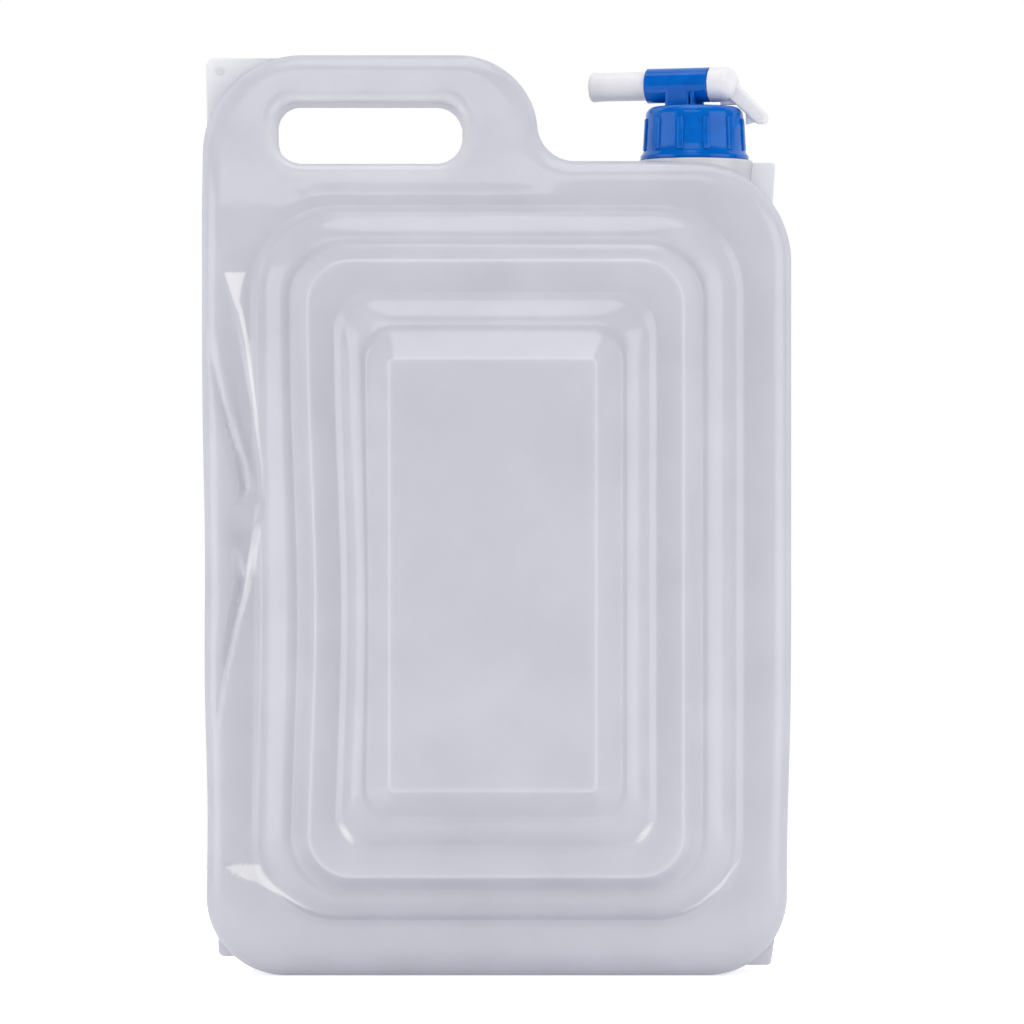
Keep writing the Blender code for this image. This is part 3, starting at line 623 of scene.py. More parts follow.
def milky_polyethylene():
    """Low-density polyethylene, blown into a blasted mould: a soft gloss over a wall that lets light through."""
    material, tree = new_material("blown_milky_polyethylene")
    place = add_node(tree, "ShaderNodeTexCoord").outputs["Object"]
    clouds = add_node(tree, "ShaderNodeTexNoise", {"Vector": place}, Scale=28.0, Detail=3.0, Roughness=0.5)
    tone = add_node(tree, "ShaderNodeValToRGB", {"Fac": clouds.outputs["Fac"]})
    for end, position, colour in zip(tone.color_ramp.elements, (0.20, 0.80), ("#DDDDE4", "#E5E5EC")):
        end.position, end.color = position, linear(colour)
    # The stored share turns the tone towards white: white from bending, painted highlights and painted light.
    white_and_light_share = add_node(tree, "ShaderNodeAttribute", attribute_name="white_and_painted_light")
    shade = add_node(tree, "ShaderNodeMix", {"Factor": white_and_light_share.outputs["Fac"]}, data_type="RGBA")
    tree.links.new(tone.outputs["Color"], shade.inputs[6])
    shade.inputs[7].default_value = linear("#FCFCFD")
    grain = add_node(tree, "ShaderNodeTexNoise", {"Vector": place}, Scale=900.0, Detail=2.0)
    waves = add_node(tree, "ShaderNodeTexNoise", {"Vector": place}, Scale=55.0, Detail=2.0)
    ripple = add_node(tree, "ShaderNodeBump", {"Height": waves.outputs["Fac"]}, Strength=0.06, Distance=0.0012)
    both = {"Height": grain.outputs["Fac"], "Normal": ripple.outputs["Normal"]}
    skin = add_node(tree, "ShaderNodeBump", both, Strength=0.10, Distance=0.00012).outputs["Normal"]
    sheen = add_node(tree, "ShaderNodeMapRange", {"Value": clouds.outputs["Fac"]}, **{"To Min": 0.14, "To Max": 0.19})
    looks = {"Base Color": shade.outputs[2], "Roughness": sheen.outputs["Result"], "Normal": skin}
    plastic = add_node(tree, "ShaderNodeBsdfPrincipled", looks, IOR=1.51, **{"Specular IOR Level": 0.85})
    glow = add_node(tree, "ShaderNodeBsdfTranslucent", {"Color": shade.outputs[2], "Normal": skin})
    mix = add_node(tree, "ShaderNodeMixShader", {1: plastic.outputs["BSDF"], 2: glow.outputs["BSDF"]}, Fac=0.45)
    add_node(tree, "ShaderNodeOutputMaterial", {"Surface": mix.outputs["Shader"]})
    return material


milky = milky_polyethylene()

# %% [markdown]
# ## The band
# The band is the deepest loop of the bottle: parting line, rounded rim, flat face, hand slot and the first
# shoulder. Half of it is made and mirrored. The rim, the slot and the shoulder are extruded loops. The flat
# face between them is a fine lattice, so that dents have points to move, and its ragged edge is filled up to
# the three loops with triangles. Sharp folds and small white marks need more points than that, so the faces
# there are cut into smaller ones before the points are moved.

# %% Rim rows

RIM_SHARES = (0.0, 0.02, 0.06, 0.35, 0.7, 1.0)  # of the way from the parting plane to the rounding
RIM_TURNS = np.radians(np.linspace(0, 90, 8))[1:]
PARTING_RIDGE = 0.35


def rim_rows(line, round_by, waist, inwards):
    """Rows of points from the parting plane over a rounded rim to the band's face."""
    x, z, out_x, out_z = line.T
    side = -1.0 if inwards else 1.0
    rows = [(waist * out_x**2 * (1 - share**2), share, None) for share in RIM_SHARES]
    if inwards:
        rows[0] = (rows[0][0] - PARTING_RIDGE * out_x**2, 0.0, None)
    rows += [(round_by * (1 - math.cos(angle)), 1.0, angle) for angle in RIM_TURNS]
    placed = []
    for inset, share, angle in rows:
        px, pz = x + side * inset * out_x, z + side * inset * out_z
        face = band_depth(px, pz)
        depth = (face - round_by) * share
        if angle is not None:
            depth = face - round_by * (1 - math.sin(angle))
        placed.append(np.stack([px, -depth, pz], axis=1))
    return placed


def inside(points, polygon):
    """Which points in the XZ plane lie inside a polygon."""
    x, z = points[:, 0][:, None], points[:, 1][:, None]
    x1, z1 = polygon[:, 0], polygon[:, 1]
    x2, z2 = np.roll(x1, -1), np.roll(z1, -1)
    crosses = ((z1 > z) != (z2 > z)) & (x < (x2 - x1) * (z - z1) / (z2 - z1 + 1e-12) + x1)
    return crosses.sum(axis=1) % 2 == 1


def away_from(points, polygon, distance, batch=2000):
    """Which points keep at least a distance from a closed line of points."""
    following = np.roll(polygon, -1, axis=0)
    dense = np.vstack([polygon, (polygon + following) / 2])
    keep = np.ones(len(points), bool)
    for start in range(0, len(points), batch):
        part = slice(start, start + batch)
        gaps = np.linalg.norm(points[part][:, None, :] - dense[None, :, :], axis=2)
        keep[part] = gaps.min(axis=1) > distance
    return keep


# %% The lattice of the flat face

CELL, CLEARANCE = 3.2, 0.72 * 3.2  # size of a cell, and the gap left between the lattice and the loops


def pruned(bm, verts):
    """Deletes the points that hold no face any more, and returns those that are left."""
    verts = [v for v in verts if v.is_valid]
    bmesh.ops.delete(bm, geom=[v for v in verts if not v.link_faces], context="VERTS")
    return [v for v in verts if v.is_valid]


def add_lattice(bm, outer, holes):
    """A grid of square cells in the XZ plane that stays clear of the outer loop and of the holes."""
    columns, rows = round(2 * HALF_WIDTH / CELL), round(TOP / CELL)
    place = Matrix.Translation((0, 0, TOP * MM / 2)) @ Matrix.Rotation(math.radians(90), 4, "X")
    place = place @ Matrix.Diagonal((columns * CELL * MM, rows * CELL * MM, 1, 1))
    made = bmesh.ops.create_grid(bm, x_segments=columns, y_segments=rows, size=0.5, matrix=place)["verts"]
    flat = np.array([(v.co.x / MM, v.co.z / MM) for v in made])
    keep = inside(flat, outer) & away_from(flat, outer, CLEARANCE)
    for hole in holes:
        keep &= ~inside(flat, hole) & away_from(flat, hole, CLEARANCE)
    bmesh.ops.delete(bm, geom=[v for v, k in zip(made, keep) if not k], context="VERTS")
    made = pruned(bm, made)
    while True:
        pinched = [v for v in made if sum(edge.is_boundary for edge in v.link_edges) > 2]
        thin = [e for v in made for e in v.link_edges if not e.link_faces]
        if not pinched and not thin:
            return made
        faces = {face for v in pinched for face in list(v.link_faces)[:1]}
        bmesh.ops.delete(bm, geom=list(faces) + list(set(thin)), context="FACES" if faces else "EDGES")
        made = pruned(bm, made)


def fill_flat(bm, loops, outer, holes, depth_at):
    """Fills a flat with a lattice, and with triangles from the lattice to the loops of edges round it."""
    lattice = add_lattice(bm, outer[:, [0, 2]], [hole[:, [0, 2]] for hole in holes])
    for vert in lattice:
        vert.co.y = -float(depth_at(vert.co.x / MM, vert.co.z / MM)) * MM
    border = {edge for vert in lattice for edge in vert.link_edges if edge.is_boundary}
    fill = loops + list(border)
    bmesh.ops.triangle_fill(bm, use_beauty=True, use_dissolve=False, edges=fill, normal=(0, -1, 0))


# %% Build the band

# Radii: the rim's, and how much more below; the slot's lower edge, and how much more above and at its top corners
RIM_ROUND, RIM_BELOW, SIDE_WAIST = 12.0, 6.0, 2.5
SLOT_ROUND, SLOT_ABOVE, SLOT_CORNERS = 4.4, 2.0, 3.6


def band_skin():
    """The front half of the band, from the parting plane to the first crease."""
    bm = bmesh.new()
    rim_round = RIM_ROUND + RIM_BELOW * smooth_step(-bottle_line[:, 3], 0.2, 0.9)
    rim = rim_rows(bottle_line, rim_round, SIDE_WAIST, True)
    out_x, out_z = slot_line.T[2:4]
    upper_corners = 2 * np.abs(out_x) * np.maximum(out_z, 0)
    slot_round = SLOT_ROUND + SLOT_ABOVE * smooth_step(out_z, -0.8, 0.2) + SLOT_CORNERS * upper_corners
    slot = rim_rows(slot_line, slot_round, 0.0, False)
    fold = [ring_at(u, v) for u, v in steps[: crease_rows[0] + 1]]
    inner_edges = []
    for rows in (rim, slot, fold[::-1]):
        inner_edges += extrude_rows(bm, start_loop(bm, rows[0]), rows[1:])
    fill_flat(bm, inner_edges, rim[-1], [slot[-1], fold[0]], band_depth)
    return bm


start_bm = band_skin()
print("half band:", len(start_bm.verts), "points", len(start_bm.faces), "faces")

# %% Mirror, age and thicken


def age(bm):
    """Stores how white each point is, from bending and from painted light, then moves the points from the mould's
    shape to the used one.
    """
    layer = bm.verts.layers.float.new("white_and_painted_light")
    points = np.array([vert.co for vert in bm.verts]) / MM
    for vert, point, white in zip(bm.verts, used(points), stress_white_and_painted_light(points)):
        vert[layer] = white
        vert.co = Vector(point) * MM


def mirrored(bm):
    """Adds the rear half, which is the front half's mirror image."""
    bmesh.ops.mirror(bm, geom=bm.verts[:] + bm.edges[:] + bm.faces[:], axis="Y", merge_dist=0.01 * MM)
    return bm


def turned_to_rear(bm):
    """Makes the front piece's mesh into the rear piece's."""
    bmesh.ops.scale(bm, vec=(1, -1, 1), verts=bm.verts)
    bmesh.ops.reverse_faces(bm, faces=bm.faces)
    return bm


def thicken(piece):
    """Gives a skin the wall's thickness, inwards."""
    shell = piece.modifiers.new("wall", "SOLIDIFY")
    shell.thickness = WALL * MM
    shell.offset = -1.0
    return piece


# %% Smaller faces at the folds and marks

# The crumpled side: its limits to the right and to the rear, and its heights
CRUMPLED_X, CRUMPLED_Y, CRUMPLED_Z = -120, -24, (124, 382)
# The white triangle: its middle, how far the faces round it reach, and their heights
TRIANGLE_X, TRIANGLE_REACH, TRIANGLE_Z = -136.7, 7.5, (350, 371)


def beside(middle, tables, reach, upright=True):
    """True for the middle of a front face within reach of one of the lines in the tables."""
    along, across = (middle.z, middle.x) if upright else (middle.x, middle.z)
    for table in tables:
        on_line = table[0, 0] - 2 < along < table[-1, 0] + 2
        if middle.y < FRONT and on_line and abs(across - look_up(table, along)[0]) < reach:
            return True
    return False


def at_crumpled_side(middle):
    """True on the front's left side, where the folds are."""
    return middle.x < CRUMPLED_X and middle.y < CRUMPLED_Y and CRUMPLED_Z[0] < middle.z < CRUMPLED_Z[1]


def at_side_mark(middle):
    """True at the two streaks on the left side and the white triangle over the upper one."""
    level = middle.y < FRONT and TRIANGLE_Z[0] < middle.z < TRIANGLE_Z[1]
    triangle = level and abs(middle.x - TRIANGLE_X) < TRIANGLE_REACH
    return triangle or beside(middle, (LEFT_STREAK, LOWER_STREAK), 3.0)


def at_side_fold(middle):
    """True at the grooves and streaks of the left side."""
    return at_side_mark(middle) or beside(middle, (UPPER_GROOVE, LOWER_GROOVE), 4.5)


def at_corner_mark(middle):
    """True at the white marks of the two lower corners."""
    left = beside(middle, (LEFT_CORNER_MARK,), 7.0, upright=False)
    return left or beside(middle, (RIGHT_CORNER_HIGHLIGHT,), 3.5, upright=False)


def refined(bm, chosen, cuts):
    """Cuts the chosen faces into smaller ones, where a fold or a mark needs more points."""
    edges = {edge for face in bm.faces if chosen(face.calc_center_median() / MM) for edge in face.edges}
    bmesh.ops.subdivide_edges(bm, edges=list(edges), cuts=cuts, use_grid_fill=True)


# %% Finish the band
NECK_HOLE = 20.5
band = mirrored(start_bm)
for chosen, cuts in ((at_crumpled_side, 1), (at_side_fold, 1), (at_side_mark, 1), (at_corner_mark, 3)):
    refined(band, chosen, cuts)
print("band skin, triangles in both walls:", 2 * sum(len(face.verts) - 2 for face in band.faces))
age(band)
near_top = [v for v in band.verts if v.co.z > (SHOULDER - 3) * MM]
under_collar = [v for v in near_top if math.hypot(v.co.x - NECK_X * MM, v.co.y) < NECK_HOLE * MM]
bmesh.ops.delete(band, geom=under_collar, context="VERTS")
bmesh.ops.recalc_face_normals(band, faces=band.faces)
bottle_skin = thicken(finish_mesh(band, "bottle_skin", milky))
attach(bottle_skin, "bottle")
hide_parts("front_band", "rear_band")
print("band skin faces:", len(bottle_skin.data.polygons))

# %% [markdown]
# ## The steps that fold
# Each step is the same soft line laid round rounded rectangles, from one crease to the next. On the real
# bottle nothing slides: the riser between two creases flips inside out.

# %% Rings and panels


def ring_skin(rear):
    """The wall between the two creases."""
    bm = bmesh.new()
    rows = [ring_at(u, v) for u, v in steps[crease_rows[0] : crease_rows[1] + 1]]
    extrude_rows(bm, start_loop(bm, rows[0]), rows[1:])
    return turned_to_rear(bm) if rear else bm


def panel_skin(rear):
    """The wall inside the inner crease, with its flat."""
    bm = bmesh.new()
    rows = [ring_at(u, v) for u, v in steps[crease_rows[1] :]]
    last = extrude_rows(bm, start_loop(bm, rows[0]), rows[1:])
    fill_flat(bm, last, rows[-1], [], lambda x, z: steps[-1][1])
    return turned_to_rear(bm) if rear else bm


def fold_piece(bm, name, node, side):
    """Finishes a piece of the steps' skin."""
    age(bm)
    bmesh.ops.recalc_face_normals(bm, faces=bm.faces)
    deepest = max(vert.co.y * side for vert in bm.verts)
    middle = max(bm.faces, key=lambda face: face.calc_center_median().y * side)
    if middle.normal.y * side < 0:
        bmesh.ops.reverse_faces(bm, faces=bm.faces)
    piece = thicken(finish_mesh(bm, name, milky))
    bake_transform(piece)
    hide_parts(node)
    print(name, "faces:", len(piece.data.polygons), "deepest at", round(deepest / MM, 1), "mm")


for face, side in (("front", -1), ("rear", 1)):
    rear, ring, dish = side > 0, face + "_ring", face + "_dish"
    fold_piece(ring_skin(rear), face + "_step_skin", face + "_fold_ring", side)
    fold_piece(panel_skin(rear), face + "_panel_skin", face + "_panel", side)

# %% [markdown]
# ## Corner ears
# Where the mould's halves close on a corner, a little flat web of doubled wall is left outside the rounded
# bottle. It is a plain plate with softened edges, and one of them carries a small round mark. The plate is
# drawn as one face, extruded, and its edges bevelled.

# %% The outline of an ear

# How far a plate is sunk into the bottle, how far its feet stand off, and how far it follows the side's waist
EAR_SUNK, EAR_FOOT, EAR_WAIST = 1.6, 1.5, 2.4


def ear_outline(corner_x, corner_z, own_radius, lean, bottle_corner, start):
    """A plate's outline: its own rounded corner, then back along the bottle's corner, inside the wall."""
    centre_x, centre_z, radius = bottle_corner
    side_x, side_z = (1 if corner_x > 0 else -1), (1 if corner_z > SHOULDER / 2 else -1)
    own_x, own_z = corner_x - side_x * own_radius, corner_z - side_z * own_radius
    own = arc(own_x, own_z, own_radius, start, start + 90, spacing=1)
    sunk = radius - EAR_SUNK
    low = math.degrees(math.acos(min(1.0, abs(corner_x - centre_x) / sunk)))
    high = math.degrees(math.asin(min(1.0, abs(corner_z - centre_z) / sunk)))
    level_first = start in (90, 270)
    ends = (90 - high, 90 - low) if level_first else (low, high)
    inner = arc(centre_x, centre_z, sunk, start + ends[0], start + ends[1], spacing=3.0)[:, :2]
    upright_end, level_end = (inner[-1], inner[0]) if level_first else (inner[0], inner[-1])
    upright_foot = (corner_x - side_x * lean, upright_end[1] + side_z * EAR_FOOT)
    feet = [upright_foot, (level_end[0] + side_x * EAR_FOOT, corner_z)]
    inner[:, 0] -= side_x * EAR_WAIST * ((inner[:, 0] - centre_x) / radius) ** 2
    first, last = feet[::-1] if level_first else feet
    return np.vstack([first, own[:, :2], last, inner[::-1]])


def add_plate(bm, outline, thickness, bevel, segments):
    """A plate in the XZ plane, in the middle of Y, with bevelled edges, from its outline in millimetres."""
    verts = [bm.verts.new((x * MM, -thickness / 2 * MM, z * MM)) for x, z in outline]
    grown = bmesh.ops.extrude_face_region(bm, geom=[bm.faces.new(verts)])["geom"]
    lifted = [item for item in grown if isinstance(item, bmesh.types.BMVert)]
    bmesh.ops.translate(bm, vec=(0, thickness * MM, 0), verts=lifted)
    corners = set(verts) | set(lifted)
    bmesh.ops.recalc_face_normals(bm, faces=[face for face in bm.faces if corners.issuperset(face.verts)])
    edges = [edge for edge in bm.edges if corners.issuperset(edge.verts)]
    flat = [edge for edge in edges if abs(edge.verts[0].co.y - edge.verts[1].co.y) < 1e-7]
    bmesh.ops.bevel(bm, geom=flat, offset=bevel * MM, segments=segments, affect="EDGES", profile=0.5, material=-1)


# %% The four ears

# Corner x and z, its own radius, how far its foot leans, the bottle's corner behind it, where its turn starts
EARS = (
    (-153.8, 483.4, 4.6, 0.8, HANDLE_CORNER, 90),
    (147.4, 428.0, 1.3, 1.7, SHOULDER_CORNER, 0),
    (145.4, 3.6, 2.4, -1.8, RIGHT_FOOT, 270),
    (-147.3, 8.2, 3.6, 0.0, LEFT_FOOT, 180),
)
EAR_THICKNESS, EAR_BEVEL, UPPER_EAR_PAINTED_LIGHT, LOWER_EAR_PAINTED_LIGHT = 2.0, 0.4, 0.5, 0.1
MARK_X, MARK_Z = -146.4, 476.6

ears = bmesh.new()
for ear in EARS:
    add_plate(ears, ear_outline(*ear), EAR_THICKNESS, EAR_BEVEL, 2)
mark_turn = Matrix.Rotation(math.radians(90), 4, "X")
mark_place = Matrix.Translation((MARK_X * MM, -EAR_THICKNESS / 2 * MM, MARK_Z * MM)) @ mark_turn
bmesh.ops.create_cone(
    ears, cap_ends=True, segments=24, radius1=2.6 * MM, radius2=2.2 * MM, depth=0.7 * MM, matrix=mark_place
)
bmesh.ops.recalc_face_normals(ears, faces=ears.faces)
# The ears carry painted light, more on the upper ones, which lifts their shade.
white_and_painted_light = ears.verts.layers.float.new("white_and_painted_light")
for vert in ears.verts:
    vert[white_and_painted_light] = UPPER_EAR_PAINTED_LIGHT if vert.co.z > SHOULDER / 2 * MM else LOWER_EAR_PAINTED_LIGHT
ears = finish_mesh(ears, "corner_ears", milky, 40.0)
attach(ears, "bottle")
print("ears:", len(ears.data.polygons), "faces")

# %% [markdown]
# ## The neck and its thread
# The neck is a turned shape, so its half section is drawn once and spun. The thread is a small rib that climbs
# as it turns, which the same spin makes when it is also given a rise per step. The rib stays inside the cap.

# %% Turned shapes


def spun(profile, around=96, closed=True):
    """A solid turned about Z, from its half section of radius and height in millimetres."""
    bm = bmesh.new()
    verts = [bm.verts.new((radius * MM, 0, height * MM)) for radius, height in profile]
    pairs = list(zip(verts, verts[1:])) + ([(verts[-1], verts[0])] if closed else [])
    edges = [bm.edges.new(pair) for pair in pairs]
    turn = dict(axis=(0, 0, 1), angle=math.radians(360), steps=around)
    bmesh.ops.spin(bm, geom=verts + edges, cent=(0, 0, 0), use_merge=True, **turn)
    bmesh.ops.remove_doubles(bm, verts=bm.verts, dist=0.001 * MM)
    bm.normal_update()
    bmesh.ops.recalc_face_normals(bm, faces=bm.faces)
    return bm


def thread_rib(radius, height, low, turns=2.1, pitch=6.0, width=2.2, around=64):
    """A rib that climbs round a neck, or inside a cap where its height is negative. Its ends run out to nothing."""
    bm = bmesh.new()
    root = -math.copysign(0.3, height)
    section = [(root, -width / 2), (height, -width / 5), (height, width / 5), (root, width / 2)]
    verts = [bm.verts.new(((radius + out) * MM, 0, (low + up) * MM)) for out, up in section]
    climb = dict(dvec=(0, 0, pitch * MM / around), angle=math.radians(360) * turns, steps=int(around * turns))
    bmesh.ops.spin(bm, geom=[bm.faces.new(verts)], cent=(0, 0, 0), axis=(0, 0, 1), **climb)
    for vert in bm.verts:
        climbed = (vert.co.z / MM - low) / pitch
        fade = min(1.0, max(0.0, climbed / 0.15), max(0.0, (turns - climbed) / 0.15))
        out = vert.co.xy.length / MM - radius
        if out * height > 0:
            scale = (radius + out * fade) / (radius + out)
            vert.co.x, vert.co.y = vert.co.x * scale, vert.co.y * scale
    bmesh.ops.recalc_face_normals(bm, faces=bm.faces)
    return bm


# %% The neck
NECK_RADIUS, THREAD_HEIGHT, NECK_PAINTED_LIGHT = 22.75, 1.3, 0.4
NECK_PROFILE = [(19.8, -8.0), (29.6, -16.0), (30.1, -4.0), (30.7, -0.6), (30.7, 1.0), (30.1, 1.6), (23.6, 1.6)]
NECK_PROFILE += [(NECK_RADIUS, 2.5), (NECK_RADIUS, 23.9), (22.2, 24.5), (20.4, 24.5), (19.8, 23.9)]
neck = spun(NECK_PROFILE)
bmesh.ops.translate(neck, vec=(NECK_X * MM, 0, SHOULDER * MM), verts=neck.verts)
# The neck carries painted light, which lifts its shade.
white_and_painted_light = neck.verts.layers.float.new("white_and_painted_light")
for vert in neck.verts:
    vert[white_and_painted_light] = NECK_PAINTED_LIGHT
neck = finish_mesh(neck, "neck_skin", milky, 35.0)
thread = thread_rib(NECK_RADIUS, THREAD_HEIGHT, 8.2)
bmesh.ops.translate(thread, vec=(NECK_X * MM, 0, SHOULDER * MM), verts=thread.verts)
thread = finish_mesh(thread, "neck_thread", milky, 40.0)
for piece in (neck, thread):
    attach(piece, "bottle")
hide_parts("neck")
print("neck box, mm:", [round(c / MM, 1) for c in neck.bound_box[0]], "thread faces:", len(thread.data.polygons))

# %% [markdown]
# ## The plastics of the tap
# The cap and barrel are polypropylene coloured through: strong blue, with a gloss that is not quite a mirror
# because the mould was lightly textured. The plug is the same plastic in white. Both get a change of tone and of
# gloss from handling, about 7 mm across, and a very fine bump. The mould's texture is about 0.1 mm, and is drawn
# at about 0.4 mm, because a finer one doesn't show. The white one also lets a little light in under its surface.

# %% Coloured polypropylene


def polypropylene(name, dark, light, roughness, subsurface, gloss):
    """Injection-moulded plastic, coloured through, with a lightly textured skin."""
    material, tree = new_material(name)
    place = add_node(tree, "ShaderNodeTexCoord").outputs["Object"]
    flow = add_node(tree, "ShaderNodeTexNoise", {"Vector": place}, Scale=140.0, Detail=2.0).outputs["Fac"]
    tone = add_node(tree, "ShaderNodeValToRGB", {"Fac": flow})
    for end, position, colour in zip(tone.color_ramp.elements, (0.35, 0.65), (dark, light)):
        end.position, end.color = position, linear(colour)
    limits = {"To Min": roughness - 0.03, "To Max": roughness + 0.03}
    handled = add_node(tree, "ShaderNodeMapRange", {"Value": flow}, **limits)
    grain = add_node(tree, "ShaderNodeTexNoise", {"Vector": place}, Scale=2600.0, Detail=2.0)
    skin = add_node(tree, "ShaderNodeBump", {"Height": grain.outputs["Fac"]}, Strength=0.08, Distance=0.00005)
    looks = {"Base Color": tone.outputs["Color"], "Roughness": handled.outputs["Result"]}
    looks["Normal"] = skin.outputs["Normal"]
    under = {"Subsurface Weight": subsurface, "Subsurface Radius": (1.0, 1.0, 1.0), "Subsurface Scale": 0.0012}
    numbers = {"IOR": 1.49, "Specular IOR Level": gloss, **under}
    plastic = add_node(tree, "ShaderNodeBsdfPrincipled", looks, **numbers)
    add_node(tree, "ShaderNodeOutputMaterial", {"Surface": plastic.outputs["BSDF"]})
    return material


blue = polypropylene("moulded_blue_polypropylene", "#0058B0", "#0060BC", 0.14, 0.0, 0.28)
white = polypropylene("moulded_white_polypropylene", "#DAD9DE", "#E0DFE4", 0.3, 0.2, 0.4)
foam = polypropylene("closed_cell_sealing_foam", "#DEDEDA", "#E8E8E4", 0.85, 0.0, 0.5)
frame["nodes"]["cap_gasket"].material_slots[0].material = foam
print("tap materials:", blue.name, white.name, foam.name)

# %% [markdown]
# ## The cap
# The cap, its stem and the tap's barrel are one moulding. The turned parts are spun from their half sections,
# with the round top edge and the flare above the foot drawn in. The stem and the ribs are blocks with bevelled
# edges. Exact Booleans join them, so the finished cap is one closed skin, as it leaves the mould.

# %% Joining solids


def helper_object(bm, name, material):
    """An object whose faces point outwards, as a Boolean needs them."""
    bm.normal_update()
    bmesh.ops.recalc_face_normals(bm, faces=bm.faces)
    return finish_mesh(bm, name, material)


def joined(name, material, first, changes):
    """Joins or cuts solids one after another and keeps the result as a plain mesh."""
    base = helper_object(first, name + "_base", material)
    helpers = [base]
    for number, (operation, bm) in enumerate(changes):
        helpers.append(helper_object(bm, name + "_step" + str(number), material))
        modifier = base.modifiers.new("step" + str(number), "BOOLEAN")
        modifier.operation, modifier.solver, modifier.object = operation, "EXACT", helpers[-1]
    view = bpy.context.evaluated_depsgraph_get()
    mesh = bpy.data.meshes.new_from_object(base.evaluated_get(view))
    for helper in helpers:
        bpy.data.objects.remove(helper, do_unlink=True)
    bm = bmesh.new()
    bm.from_mesh(mesh)
    bpy.data.meshes.remove(mesh)
    bmesh.ops.remove_doubles(bm, verts=bm.verts, dist=0.004 * MM)
    bmesh.ops.dissolve_degenerate(bm, edges=bm.edges, dist=0.004 * MM)
    return finish_mesh(bm, name, material, 32.0)


def block(size, centre, bevel, segments=3, upright=False):
    """A block with rounded edges, either all of them or the upright ones alone. Sizes are in millimetres."""
    bm = bmesh.new()
    place = Matrix.Translation(Vector(centre) * MM) @ Matrix.Diagonal((*(Vector(size) * MM), 1.0))
    bmesh.ops.create_cube(bm, size=1.0, matrix=place)
    edges = [edge for edge in bm.edges if not upright or abs(edge.verts[0].co.z - edge.verts[1].co.z) > 1e-6]
    bmesh.ops.bevel(bm, geom=edges, offset=bevel * MM, segments=segments, affect="EDGES", profile=0.5, material=-1)
    return bm


# %% The tap's own frame
TAP_TURN = math.radians(17)
CAP_FOOT, CAP_TOP, AXIS_HEIGHT = 429.2, 457.4, 469.2
BARREL_START, BARREL_END, BARREL_RADIUS, BORE_RADIUS = -25.7, 8.5, 9.2, 8.1
STEM_AT, STEM_HOLE, PORT_SIZE, PORT_BEVEL = -7.6, 3.6, 6.4, 3.1
CAP_BORE = 24.8


def in_tap_frame(bm, height=0.0):
    """Places a shape whose X runs along the barrel, from the cap's own axis."""
    place = Matrix.Translation((NECK_X * MM, 0, height * MM)) @ Matrix.Rotation(-TAP_TURN, 4, "Z")
    bmesh.ops.transform(bm, matrix=place, verts=bm.verts)
    return bm


def along_barrel(profile):
    """A solid turned about the barrel's axis, from pairs of radius and distance along it."""
    bm = spun(profile, 64)
    bmesh.ops.rotate(bm, cent=(0, 0, 0), matrix=Matrix.Rotation(math.radians(90), 3, "Y"), verts=bm.verts)
    return in_tap_frame(bm, AXIS_HEIGHT)


def over_neck(bm):
    """Moves a shape from the origin onto the neck's axis."""
    bmesh.ops.translate(bm, vec=(NECK_X * MM, 0, 0), verts=bm.verts)
    return bm


# %% Sections of the cap and barrel, and a rib


def cap_section():
    """Half of the cap's section: inside wall, flared foot, skirt, rounded top edge."""
    outside = [(28.3, CAP_FOOT), (28.7, 429.6), (28.7, 430.9), (28.5, 431.6), (27.6, 432.6), (27.0, 434.0)]
    outside += [(26.6, 438.0), (26.1, 447.0), (25.85, 452.4)]
    for angle in np.radians(np.linspace(12, 90, 7)):
        outside.append((21.35 + 4.5 * math.cos(angle), CAP_TOP - 4.8 + 4.8 * math.sin(angle)))
    inside_wall = [(CAP_BORE - 0.5, 454.4), (CAP_BORE, 453.9), (CAP_BORE, 429.8), (CAP_BORE + 0.5, CAP_FOOT)]
    return [(0.0, 454.4)] + inside_wall + outside + [(0.0, CAP_TOP)]


RIB_SIZE, RIB_MIDDLE, RIB_LEAN = (3.6, 3.3, 17.2), (25.55, 0, 442.4), math.radians(-3.2)
RIB_START, RIB_COUNT = -78.4, 12


def cap_rib(angle):
    """One finger rib, leaning with the skirt."""
    bm = block(RIB_SIZE, RIB_MIDDLE, 0.6)
    lean, turn = Matrix.Rotation(RIB_LEAN, 3, "Y"), Matrix.Rotation(angle, 3, "Z")
    bmesh.ops.rotate(bm, cent=Vector(RIB_MIDDLE) * MM, matrix=lean, verts=bm.verts)
    bmesh.ops.rotate(bm, cent=(0, 0, 0), matrix=turn, verts=bm.verts)
    return over_neck(bm)


def barrel_section(radius, start, end, soft):
    """Half of a plain cylinder's section, with small chamfers."""
    corners = [(radius - soft, start), (radius, start + soft), (radius, end - soft), (radius - soft, end)]
    return [(0, start)] + corners + [(0, end)]


# %% Cap, ribs, stem and barrel
stem = in_tap_frame(block((13.4, 17.4, 11.6), (-7.7, 0, 461.2), 2.2, 6, upright=True))
cross_rib = in_tap_frame(block((1.9, 17.0, 9.0), (0.9, 0, 460.9), 0.4, 2))
long_rib = in_tap_frame(block((11.0, 2.6, 6.0), (-0.5, 0, 459.6), 0.3, 1))
barrel = along_barrel(barrel_section(BARREL_RADIUS, BARREL_START, BARREL_END, 0.45))
bore = along_barrel(barrel_section(BORE_RADIUS, BARREL_START - 5, BARREL_END + 5, 0.1))
water_way = in_tap_frame(block((PORT_SIZE, PORT_SIZE, 18.0), (STEM_AT, 0, 458.0), PORT_BEVEL, 6, upright=True))
ribs = [cap_rib(math.radians(RIB_START + 360 / RIB_COUNT * number)) for number in range(RIB_COUNT)]
changes = [("UNION", solid) for solid in (*ribs, stem, cross_rib, long_rib, barrel)]
changes += [("DIFFERENCE", bore), ("DIFFERENCE", water_way)]
